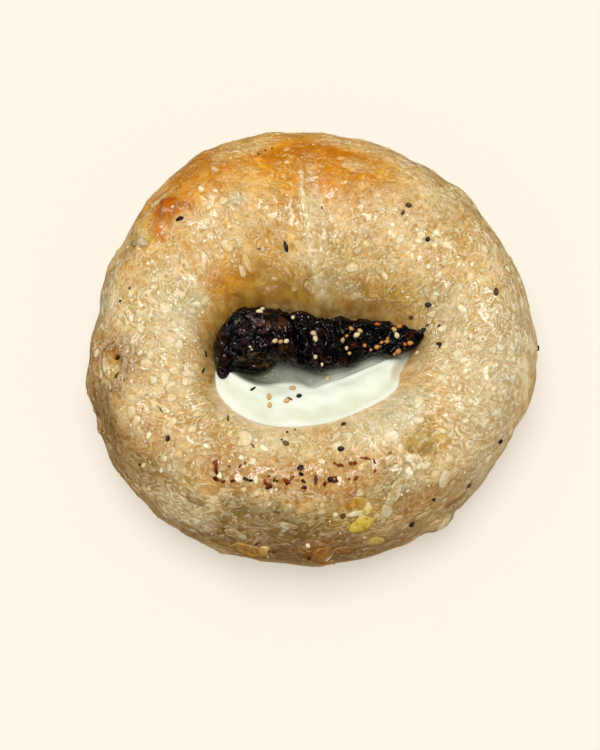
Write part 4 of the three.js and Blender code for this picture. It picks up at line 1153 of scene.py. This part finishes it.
# Lobes of the dough's folds, blisters and onion: angle, place, heading, half sizes, tone. Lobes that
# touch grow together.
FOLDS = [
    (77, 1.29, 170, (2.6, 1.3, 0.7), (222, 172, 96)), (80, 1.31, 30, (1.8, 0.9, 0.6), (226, 186, 122)),
    (190.0, 1.57, 98, (2.2, 0.5, 0.3), (206, 186, 136)),
    (192.8, 1.54, 110, (2.2, 0.5, 0.32), (210, 192, 140)),
    (191.0, 1.50, 104, (1.8, 0.5, 0.35), (222, 204, 154)),
    (193.6, 1.47, 116, (2.0, 0.5, 0.35), (224, 206, 156)),
    (195.8, 1.44, 128, (1.8, 0.5, 0.32), (210, 190, 140)),
    (156, 1.46, 110, (1.7, 1.0, 0.6), (214, 190, 150)),
    (150, 1.38, 140, (2.0, 1.3, 0.9), (206, 184, 144)), (152, 1.44, 150, (2.0, 0.8, 0.7), (168, 140, 94)),
    (254, 1.74, 172, (4.6, 2.6, 0.55), (176, 138, 70)), (253, 1.78, 172, (3.4, 1.0, 0.8), (184, 128, 30)),
    (257.5, 1.70, 35, (1.4, 0.9, 0.9), (196, 164, 96)),
    (250, 1.62, 175, (3.0, 1.5, 0.5), (180, 164, 124)), (272, 1.74, 60, (2.8, 2.2, 0.7), (156, 106, 30)),
    (269, 1.72, 100, (1.6, 1.1, 0.8), (128, 76, 14)), (273, 1.90, 175, (1.9, 1.0, 0.6), (190, 136, 44)),
    (273.5, 1.80, 60, (1.2, 0.8, 0.7), (232, 222, 200)),
    (277.5, 1.78, 10, (3.0, 2.0, 0.5), (156, 118, 68)), (278, 1.78, 10, (1.5, 0.9, 1.0), (140, 86, 30)),
    (282.5, 1.29, 172, (3.4, 1.8, 0.35), (184, 140, 40)),
    (283, 1.49, 35, (3.2, 1.9, 0.9), (208, 184, 62)), (285.5, 1.36, 60, (1.4, 0.9, 0.8), (222, 204, 120)),
    (282.5, 1.38, 8, (3.2, 0.8, 0.6), (228, 220, 184)),
    (286, 1.33, 150, (1.2, 0.7, 0.5), (226, 218, 190)), (296, 1.27, 60, (2.2, 1.2, 0.6), (212, 204, 172)),
    (293.5, 1.34, 58, (2.8, 1.5, 0.6), (208, 200, 164)),
    (290.5, 1.43, 62, (2.6, 1.4, 0.6), (200, 188, 150)),
    (289, 1.50, 95, (1.4, 0.8, 0.6), (196, 182, 140)), (308, 1.04, 80, (2.2, 1.8, 0.45), (176, 150, 78)),
    (311, 1.15, 35, (2.6, 2.0, 0.5), (168, 140, 64)), (314, 1.06, 140, (2.4, 1.5, 0.5), (190, 168, 104)),
    (304, 1.98, 20, (2.4, 1.5, 0.6), (214, 198, 160)), (302, 1.90, 60, (1.6, 1.0, 0.5), (216, 198, 156)),
    (306, 1.94, 150, (1.7, 0.9, 0.4), (200, 176, 124)), (286, 1.72, 20, (2.2, 1.4, 0.6), (196, 168, 88)),
    (310, 1.76, 40, (3.6, 0.9, 0.7), (150, 116, 62)), (300, 1.66, 20, (2.6, 1.0, 0.6), (180, 160, 116)),
    (262, 1.44, 172, (3.2, 1.0, 0.5), (180, 168, 138)), (237, 1.44, 160, (2.6, 1.4, 0.5), (164, 136, 96)),
    (232, 1.30, 150, (2.2, 1.0, 0.45), (196, 178, 116)), (92, 1.17, 5, (2.2, 0.85, 0.5), (232, 208, 168)),
    (90, 1.19, 0, (1.6, 0.7, 0.5), (236, 216, 180)), (203, 1.86, 80, (2.2, 1.2, 0.8), (176, 138, 90)),
    (64, 1.50, 130, (2.0, 1.0, 0.6), (204, 182, 140)), (48, 1.55, 120, (2.6, 1.2, 0.6), (212, 194, 142)),
    (42, 1.42, 70, (2.6, 1.0, 0.5), (222, 198, 140)),
]
# Dark chips that stand for the shade inside the gaps and holes the folds leave: painted shade.
HOLLOWS = [  # dark gaps that the folds leave: angle, place, heading and half sizes
    (135.6, 1.185, 25, (1.0, 0.5, 0.5)), (187.4, 1.41, 28, (1.7, 0.5, 0.6)),
    (193.4, 1.37, 125, (1.1, 0.45, 0.5)), (255.5, 1.66, 45, (0.7, 0.18, 0.3)),
    (270, 1.79, 70, (0.7, 0.25, 0.3)), (272.5, 1.98, 10, (0.7, 0.2, 0.3)),
]
FOLD_VOXEL = 0.16
HOLLOW_SHADE_TONE = (62, 30, 8)

FLAKE_TONE = (246, 236, 206)
# Pale flakes on the skin: angle, place, heading, half length and half width.
FLAKES = [
    (165, 0.92, 20, 1.95, 1.7), (177, 1.36, 100, 1.2, 0.9), (177, 1.12, 110, 1.4, 1.0),
    (190, 1.06, 0, 1.6, 1.5), (197, 1.02, 30, 1.0, 0.95), (199, 0.90, 60, 1.2, 0.9),
    (205, 0.88, 40, 1.5, 1.2), (179, 0.74, 60, 1.5, 1.2), (183, 0.64, 90, 0.8, 0.65),
    (194, 0.62, 0, 1.7, 1.0), (204, 0.68, 80, 1.1, 0.95), (124, 0.80, 120, 1.75, 1.4),
    (119, 0.62, 115, 2.9, 1.0), (122, 0.60, 110, 2.2, 0.9), (154, 0.82, 30, 1.6, 1.3),
    (157, 1.10, 50, 1.15, 0.9), (154, 0.62, 10, 1.2, 0.8), (162, 1.55, 90, 1.3, 0.8),
    (102, 0.40, 20, 0.9, 0.8), (96, 0.46, 80, 0.95, 0.7), (110, 0.48, 0, 0.9, 0.7),
    (74, 0.62, 10, 1.6, 1.3), (0, 1.12, 60, 1.2, 1.1), (3, 1.00, 20, 1.1, 1.0),
    (354, 0.90, 40, 1.7, 1.3), (3, 0.78, 0, 0.8, 0.6), (25, 1.14, 75, 2.3, 1.1),
    (10, 1.28, 75, 1.2, 0.75), (347, 1.50, 80, 1.0, 0.7), (27, 0.62, 20, 1.2, 0.9),
    (32, 0.72, 10, 1.1, 0.85), (358, 1.48, 90, 1.0, 0.6), (301, 1.24, 60, 1.1, 0.9),
    (284, 1.20, 20, 1.4, 1.0), (306, 1.22, 15, 2.0, 1.0), (308, 1.36, 35, 1.4, 1.0),
    (310, 1.46, 60, 2.3, 1.6), (314, 1.34, 60, 1.5, 1.2), (278, 1.24, 90, 0.95, 0.7),
    (262, 1.26, 10, 0.95, 0.6), (317, 1.74, 40, 1.6, 0.8), (206, 1.32, 90, 2.2, 1.5),
    (145, 0.58, 40, 1.5, 1.0), (50, 1.04, 30, 1.3, 1.2), (239, 0.66, 10, 2.4, 2.0),
    (272, 1.32, 0, 1.35, 0.85), (305, 1.10, 40, 1.5, 1.3), (308, 1.14, 10, 1.4, 1.1),
    (303, 1.00, 120, 1.6, 1.2), (303, 0.84, 30, 1.8, 1.5), (318, 0.86, 20, 1.5, 1.1),
    (98, 1.42, 30, 1.1, 0.75), (99, 1.36, 10, 0.9, 0.6), (97, 1.34, 90, 0.9, 0.6),
    (82, 1.36, 10, 1.2, 0.8), (119, 1.36, 140, 1.2, 0.8), (143, 1.20, 50, 1.0, 0.7),
    (215, 1.02, 60, 1.4, 1.1), (222, 0.92, 60, 1.3, 0.9), (228, 1.16, 40, 1.0, 0.8),
    (120, 1.12, 60, 1.6, 1.3), (128, 1.04, 110, 1.3, 1.1), (126, 1.16, 100, 1.2, 1.2),
    (195, 0.89, 40, 1.9, 1.5), (200, 0.86, 80, 1.5, 1.4), (192.5, 0.78, 20, 1.5, 1.3),
    (198.5, 0.66, 60, 1.6, 1.3), (186.5, 1.02, 100, 1.2, 1.0), (209, 1.30, 80, 1.7, 1.4),
    (209, 0.56, 40, 1.2, 0.9), (278, 0.71, 30, 1.7, 1.3), (284.5, 0.65, 90, 1.4, 1.2),
    (327, 0.72, 50, 1.6, 1.3), (342, 0.80, 20, 1.4, 1.2), (57, 0.92, 60, 1.5, 1.2),
]


def melted(name, frames, shapes, voxel, rounds):
    """Shapes at their frames, grown together where they touch."""
    lobes = joined(name, shapes, frames, [BLACK] * len(frames))
    remesh(lobes, voxel, rounds)
    return lobes


def nearest_tones(points, frames, tones):
    """For each point the tones of the shapes near it, the nearest ones counting most."""
    homogeneous = np.concatenate([points, np.ones((len(points), 1))], axis=1)
    tone, total = np.zeros((len(points), 3)), np.zeros(len(points))
    for matrix, shade in zip(frames, tones):
        near = np.linalg.norm((homogeneous @ np.array(matrix.inverted()).T)[:, :3], axis=1)
        weight = near ** -5
        tone += weight[:, None] * linear(shade)
        total += weight
    return tone / total[:, None]


def ground_frames(ground, rows, sink):
    return [lie(*ground.on_ring(degrees, at), heading, half, sink=sink * half[2])
            for degrees, at, heading, half, *_ in rows]


def build_folds(crust):
    frames = ground_frames(crust, FOLDS, 0.0)
    folds = melted("dough_folds", frames, [chip_shape(k, rough=0.1) for k in range(7)], FOLD_VOXEL, 6)
    mesh = folds.data
    points = points_of(mesh)
    tone = nearest_tones(points, frames, [row[-1] for row in FOLDS])
    shaken = points + 0.06 * wobble(points, 1.1, 3) + 0.4 * wobble(points, 2.8, 6)
    mesh.vertices.foreach_set("co", shaken.ravel())
    skin, height = crust.under(shaken)
    share = ramp(height, 0.0, 0.4)[:, None]
    paint_points(mesh, "tint", skin + share * (tone - skin))
    mesh.materials.append(fold_material())
    # The dark chips go into the gaps as their painted shade.
    hollows = joined("hollow_shade_chips", [chip_shape(3, 2)], ground_frames(crust, HOLLOWS, 0.3),
                     [HOLLOW_SHADE_TONE] * len(HOLLOWS))
    hollows.data.materials.append(speckled_material("gap_shade", 0.6, 0.0, 0.0))
    return [folds, hollows]


def fold_material():
    def paint(g):
        tint = g.attribute("tint", "Color")
        place = g.in_millimetres()
        cloud = g.noise(place, 0.5, 3.0, 0.6, 0.8)
        threads = g.veins(g.shifted(place, g.noise(place, 0.4, out=1), 2.0), 0.9, 0.08)
        deep = g.colour(1.0, tint, (220, 190, 130), "MULTIPLY")
        light = g.colour(0.6, tint, CREAM_SKIN)
        colour = g.colour(g.limit(cloud, 0.56, 0.38) * 0.9, tint, deep)
        colour = g.colour(threads * 0.15, colour, light)
        height = 0.04 * threads + 0.16 * cloud
        return {"Base Color": colour, "Normal": g.bump(height, 1.0, MM)}
    return material("onion_and_folds", paint, Roughness=0.16, Subsurface_Weight=0.35, Coat_Weight=0.5,
                    Subsurface_Radius=(1.0, 0.75, 0.45), Subsurface_Scale=0.0012, Coat_Roughness=0.08)


def flake_material():
    def paint(g):
        tint = g.attribute("tint", "Color")
        local = g.attribute("local", "Vector")
        cloud = g.noise(local, 4.0, 3.0, 0.6)
        away = g.vector("DISTANCE", local, (0.5, 0.5, 0.7), out=1)
        warm = g.colour(1.0, tint, (240, 222, 186), "MULTIPLY")
        colour = g.colour(g.limit(cloud, 0.6, 0.4) * 0.6, tint, warm)
        colour = g.colour(g.limit(away, 0.34, 0.46) * 0.5, colour, tint)
        return {"Base Color": colour, "Normal": g.bump(cloud, 0.5, 0.0003)}
    return material("blister_flakes", paint, Roughness=0.3, Subsurface_Weight=0.3, Coat_Weight=0.3,
                    Subsurface_Radius=(1.0, 0.8, 0.5), Subsurface_Scale=0.001, Coat_Roughness=0.1)


def build_flakes(crust):
    draw = random.Random(21)
    frames, tones = [], []
    for degrees, at, heading, length, width in FLAKES:
        half = (length, width, draw.uniform(0.22, 0.3) * min(width, 0.9 + 0.1 * width))
        frames.append(lie(*crust.on_ring(degrees, at), heading, half, sink=0.5 * half[2]))
        shade = draw.uniform(0.97, 1.02)
        tones.append(tuple(value * shade for value in FLAKE_TONE))
    flakes = joined("pale_flakes", [chip_shape(k, 3, 0.2) for k in range(9)], frames, tones)
    skin, height = crust.under(points_of(flakes.data))
    tone = tones_of(flakes.data)
    flakes.data.attributes.remove(flakes.data.attributes["tint"])
    paint_points(flakes.data, "tint", skin + 0.75 * ramp(height, -0.02, 0.22)[:, None] * (tone - skin))
    flakes.data.materials.append(flake_material())
    return flakes


BURNT = (58, 16, 2)
SCORCHED = (116, 46, 6)
# The row of burnt drops: angle, place, heading, half length, half width and tone.
CARAMEL = [
    (236.0, 1.04, 100, 0.8, 0.5, SCORCHED), (237.6, 1.10, 100, 0.9, 0.4, BURNT),
    (239.2, 1.17, 150, 0.8, 0.55, BURNT), (241.3, 1.17, 20, 0.75, 0.36, SCORCHED),
    (243.8, 1.13, 20, 0.6, 0.3, BURNT), (240.6, 1.02, 60, 0.35, 0.3, SCORCHED),
    (243.6, 0.98, 60, 0.5, 0.24, SCORCHED), (244.6, 0.93, 80, 0.4, 0.22, SCORCHED),
    (247.2, 1.08, 165, 0.6, 0.4, BLACK), (248.9, 1.08, 20, 0.5, 0.3, BLACK),
    (253.4, 1.08, 150, 0.5, 0.3, SCORCHED), (254.9, 1.10, 30, 0.8, 0.66, BURNT),
    (256.0, 1.04, 70, 0.5, 0.3, BURNT), (257.0, 1.05, 40, 0.35, 0.25, BLACK),
    (254.0, 1.01, 20, 0.4, 0.25, SCORCHED), (259.4, 1.03, 170, 0.6, 0.26, SCORCHED),
    (260.6, 1.06, 40, 0.6, 0.42, BURNT), (261.8, 1.01, 60, 0.55, 0.34, SCORCHED),
    (263.9, 0.91, 30, 0.85, 0.7, BLACK), (264.6, 0.98, 150, 0.6, 0.42, BLACK),
    (265.6, 1.04, 130, 0.7, 0.36, BLACK), (266.2, 1.10, 10, 0.6, 0.4, BURNT),
    (269.8, 1.04, 85, 1.0, 0.42, BURNT), (272.9, 1.08, 70, 0.55, 0.36, BURNT),
    (275.0, 1.05, 10, 0.8, 0.6, BLACK), (276.7, 1.07, 20, 0.75, 0.36, BURNT),
    (281.3, 1.07, 40, 0.35, 0.25, SCORCHED), (283.6, 1.08, 60, 0.6, 0.42, SCORCHED),
    (276.9, 0.90, 150, 0.5, 0.26, SCORCHED), (278.8, 0.93, 10, 0.8, 0.4, SCORCHED),
    (283.0, 0.93, 100, 0.5, 0.42, SCORCHED), (284.6, 0.94, 60, 0.5, 0.42, SCORCHED),
    (288.0, 0.92, 160, 0.6, 0.2, SCORCHED), (290.0, 0.94, 150, 0.75, 0.22, SCORCHED),
    (291.9, 0.99, 115, 0.65, 0.24, SCORCHED), (290.9, 1.07, 60, 0.5, 0.22, SCORCHED),
]


# Thin trails of sugar between drops: the places that each runs through.
TRAILS = [
    [(236.4, 1.05), (237.4, 1.10), (238.2, 1.13)], [(239.6, 1.17), (241.0, 1.17)],
    [(252.6, 1.05), (254.4, 1.08)], [(259.4, 1.05), (261.4, 1.03)], [(275.8, 1.03), (277.4, 1.04)],
    [(278.4, 0.92), (279.8, 0.94)], [(288.0, 0.92), (290.6, 0.95)],
]
TRAIL_STEP = 0.28
BURNT_VOXEL = 0.09


def build_caramel(crust):
    draw = random.Random(17)
    rows = [(degrees, at, heading, length * 1.15, width * 1.15, tone)
            for degrees, at, heading, length, width, tone in CARAMEL]
    for trail in TRAILS:
        for (start, low), (end, high) in zip(trail, trail[1:]):
            span = smooth_ring(math.radians(end), high) - smooth_ring(math.radians(start), low)
            steps = max(2, round(float(np.linalg.norm(span)) / TRAIL_STEP))
            heading = math.degrees(math.atan2(span[1], span[0]))
            for k in range(steps):
                sway = 0.35 * math.sin(2.4 * k / steps * math.pi + start)
                reach = draw.uniform(0.07, 0.22) + 0.12 * (math.sin(k * 0.9 + start) > 0.5)
                rows.append((start + (end - start) * k / steps + sway, low + (high - low) * k / steps,
                             heading, 0.34, reach, SCORCHED))
    frames = [lie(*crust.on_ring(degrees, at), heading, (length, width, 0.26), sink=0.04)
              for degrees, at, heading, length, width, _ in rows]
    drops = melted("burnt_drops", frames, [chip_shape(k, 2, 0.35) for k in range(5)], BURNT_VOXEL, 2)
    mesh = drops.data
    paint_points(mesh, "tint", nearest_tones(points_of(mesh), frames, [row[-1] for row in rows]))
    mesh.materials.append(burnt_material())
    return drops


def burnt_material():
    def paint(g):
        place = g.in_millimetres()
        cloud = g.noise(place, 1.6, 2.0)
        tint = g.attribute("tint", "Color")
        colour = g.colour(g.limit(cloud, 0.45, 0.65, 0.0, 0.25), tint, (180, 88, 16))
        return {"Base Color": colour, "Normal": g.bump(cloud, 0.4, 0.0003)}
    return material("burnt_sugar", paint, Roughness=0.14, Specular_IOR_Level=0.25)


def scatter_tree():
    """Flattened uneven domes put down over the skin they are given, most where it is flaky."""
    def build(g, wires):
        place = g.add("GeometryNodeInputPosition")
        clusters = g.limit(g.noise(place, 0.11, 2.0), 0.35, 0.62, 0.25, 1.0)
        where = g.limit(g.stored("baked"), 0.9, 1.0) * (0.25 + g.stored("flaky")) * clusters
        where = where * (1 - 0.8 * g.stored("smooth"))
        spread = {"Distance Min": wires["Gap"], "Density Max": wires["Density"], "Seed": wires["Seed"],
                  "Density Factor": where, "Mesh": wires["Geometry"]}
        points = g.add("GeometryNodeDistributePointsOnFaces", {"distribute_method": "POISSON"}, spread,
                       out=None)
        ball_sockets = {"Segments": wires["Sides"], "Rings": wires["Rings"], "Radius": 1.0}
        dome = g.add("GeometryNodeMeshUVSphere", None, ball_sockets)
        level = g.add("ShaderNodeSeparateXYZ", None, {0: g.add("GeometryNodeInputPosition")}, out=2)
        dome = g.add("GeometryNodeStoreNamedAttribute", {"data_type": "FLOAT", "domain": "POINT"},
                     {"Geometry": dome, "Name": "level", "Value": level})
        dome = g.add("GeometryNodeTransform", None, {"Geometry": dome, "Translation": (0.0, 0.0, -0.5)})
        sizes = g.add("FunctionNodeRandomValue", {"data_type": "FLOAT_VECTOR"},
                      {"Min": (0.6, 0.42, 1.0), "Max": (1.0, 0.8, 1.0), "Seed": 5})
        common = g.any_number(0.45, 1.0, seed=6)
        common = common * common * wires["Radius"]
        grow = g.add("ShaderNodeCombineXYZ", None, {0: common, 1: common, 2: common * wires["Rise"]})
        sizes = g.stretched(sizes, grow)
        turn = g.any_number(0.0, math.tau, seed=8)
        spin = g.add("FunctionNodeEulerToRotation", None,
                     {0: g.add("ShaderNodeCombineXYZ", None, {2: turn})})
        rotation = g.add("FunctionNodeRotateRotation", {"rotation_space": "LOCAL"},
                         {0: Wire(g, points.outputs["Rotation"]), 1: spin})
        domes = g.add("GeometryNodeInstanceOnPoints", None, {
            "Points": Wire(g, points.outputs["Points"]), "Instance": dome, "Rotation": rotation,
            "Scale": sizes,
        })
        domes = g.add("GeometryNodeRealizeInstances", None, {0: domes})
        again = g.add("GeometryNodeInputPosition")
        shake = g.centred(g.noise(again, 0.9, 2.0, out=1), wires["Shake"])
        return g.add("GeometryNodeSetPosition", None, {0: domes, "Offset": shake})
    return geometry_tree("blister_scatter", build, **{
        "Material": "Material", "Gap": "Float", "Density": "Float", "Radius": "Float", "Rise": "Float",
        "Shake": "Float", "Seed": "Int", "Sides": "Int", "Rings": "Int",
    })


def blister_material():
    def paint(g):
        tint = g.attribute("tint", "Color")
        place = g.add("ShaderNodeTexCoord", out="Object")
        cloud = g.noise(place, 900.0, 3.0)
        spread = g.noise(place, 160.0, 2.0)
        share = g.limit(cloud, 0.35, 0.65, 0.1, 0.5) + g.limit(spread, 0.4, 0.6, 0.0, 0.5)
        share = share * g.limit(g.attribute("level"), 0.5, 0.9, 0.1, 1.0)
        pale = g.colour(share, tint, CREAM_SKIN)
        return {"Base Color": pale, "Normal": g.bump(cloud, 0.25, 0.0002)}
    return material("blister_skin", paint, Roughness=0.25, Subsurface_Weight=0.3, Subsurface_Scale=0.001,
                    Subsurface_Radius=(1.0, 0.7, 0.4), Coat_Weight=0.4, Coat_Roughness=0.1)


def build_blisters(crust):
    tree = scatter_tree()
    skin = blister_material()
    pieces = []
    sizes = {
        "large_blisters": {"Gap": 2.6, "Density": 0.09, "Radius": 1.8, "Rise": 0.28, "Shake": 0.9,
                           "Seed": 4, "Sides": 18, "Rings": 8},
        "small_blisters": {"Gap": 1.0, "Density": 0.5, "Radius": 0.75, "Rise": 0.5, "Shake": 0.3,
                           "Seed": 9, "Sides": 8, "Rings": 5},
    }
    for name, values in sizes.items():
        blisters = bpy.data.objects.new(name, crust.data.copy())
        bpy.context.scene.collection.objects.link(blisters)
        run_tree(blisters, tree, Material=skin, **values)
        pieces.append(blisters)
    return pieces


# ---------------------------------------------------------------- the studio

CAMERA_HEIGHT_ANGLE = 72
CAMERA_LENS = 85
FILM = 36
PICTURE_SIZE = (600, 750)
PICTURE_SCALE = 4.09  # pixels for a millimetre at the aim
AIM = (0, 0, 14)
AIM_PIXEL = (313.5, 343)
FLOOR_TONE = (0.862, 0.802, 0.695)
FLOOR_GLOW = 0.5  # share of the floor's brightness that comes from below, as on a light table
STUDIO_LEVEL = 1.13
FILL = 0.42
# Strength, width in degrees, height above the table, bearing from +X, and whether it only makes glints.
SUNS = [
    ("window", 2.4, 40, 83, 115, False), ("top_glints", 0.45, 10, 80, 60, True),
    ("far_glints", 0.45, 11, 56, 110, True), ("left_glints", 0.5, 11, 46, 170, True),
    ("right_glints", 0.5, 11, 46, 30, True), ("near_glints", 0.1, 9, 24, 262, True),
]


def build_camera():
    data = bpy.data.cameras.new("camera")
    data.lens = CAMERA_LENS
    data.sensor_fit = "VERTICAL"
    data.sensor_height = FILM
    data.clip_start = 0.01
    data.clip_end = 50
    width, height = PICTURE_SIZE
    data.shift_x = (width / 2 - AIM_PIXEL[0]) / height
    data.shift_y = (AIM_PIXEL[1] - height / 2) / height
    camera = bpy.data.objects.new("camera", data)
    distance = CAMERA_LENS / FILM * height / PICTURE_SCALE * MM
    lift = math.radians(CAMERA_HEIGHT_ANGLE)
    back = Vector((0, -math.cos(lift), math.sin(lift)))
    camera.location = Vector(AIM) * MM + back * distance
    camera.rotation_euler = (math.pi / 2 - lift, 0, 0)
    bpy.context.scene.collection.objects.link(camera)
    bpy.context.scene.camera = camera


def build_floor():
    half = 3.0
    corners = [(-half, -half, 0), (half, -half, 0), (half, half, 0), (-half, half, 0)]
    floor = new_object("floor", corners, [(0, 1, 2, 3)])
    floor.data.materials.append(material("plain_paper", lambda g: {}, Roughness=1.0,
                                         Base_Color=(*[v * (1 - FLOOR_GLOW) for v in FLOOR_TONE], 1.0),
                                         Specular_IOR_Level=0.0, Emission_Color=(*FLOOR_TONE, 1.0),
                                         Emission_Strength=FLOOR_GLOW * STUDIO_LEVEL))
    floor.visible_glossy = False


def build_lights():
    world = bpy.data.worlds.new("studio")
    world.use_nodes = True
    world.node_tree.nodes["Background"].inputs["Strength"].default_value = FILL
    world.node_tree.nodes["Background"].inputs["Color"].default_value = (1.0, 1.0, 1.0, 1.0)
    world.cycles_visibility.glossy = False
    bpy.context.scene.world = world
    for name, strength, width, height, bearing, glints in SUNS:
        data = bpy.data.lights.new(name, "SUN")
        data.energy = strength
        data.angle = math.radians(width)
        sun = bpy.data.objects.new(name, data)
        height, bearing = math.radians(height), math.radians(bearing)
        towards = Vector((math.cos(height) * math.cos(bearing), math.cos(height) * math.sin(bearing),
                          math.sin(height)))
        sun.rotation_euler = towards.to_track_quat("Z", "Y").to_euler()
        sun.visible_glossy = glints
        sun.visible_diffuse = not glints
        bpy.context.scene.collection.objects.link(sun)


# ---------------------------------------------------------------- putting it together

def main():
    bpy.context.scene.view_settings.view_transform = "Standard"
    build_camera()
    build_lights()
    build_floor()

    crust = build_crust()
    run_tree(crust, crust_relief(), Material=crust_material(),
             **{"Blister rise": 0.3, "Ridge rise": 0.1, "Slow rise": 0.9})
    blisters = build_blisters(crust)
    cheese = build_cheese()
    cheese.data.materials.append(cheese_material())
    shape = points_of(cheese.data)
    beyond = shape[:, 1] - through(LEDGE_X, LEDGE_Y, shape[:, 0])
    paint_points(cheese.data, "wet_and_shade", through(WET_AND_SHADE_X, WET_AND_SHADE_SHARE, shape[:, 0]) * ramp(beyond, -0.1, 1.2))
    paint_places(cheese.data, "rest", shape)

    fig = fig_shape()
    remesh(fig, FIG_VOXEL)
    fold_fig(fig)
    fig.data.materials.append(fig_material())

    on_crust, on_cheese, on_fig = Ground(crust), Ground(cheese), Ground(fig)
    toppings = build_seeds(on_crust, on_cheese, on_fig) + build_folds(on_crust)
    toppings += [build_flakes(on_crust), build_caramel(on_crust), *blisters]

    for piece in (crust, cheese, fig, *toppings):
        to_metres(piece)
    hand_in(crust, "crust", "dough_ring")
    hand_in(cheese, "cheese", "cheese")
    hand_in(fig, "fig", "fig")
    for piece in toppings:
        hand_in(piece, "crust")


main()
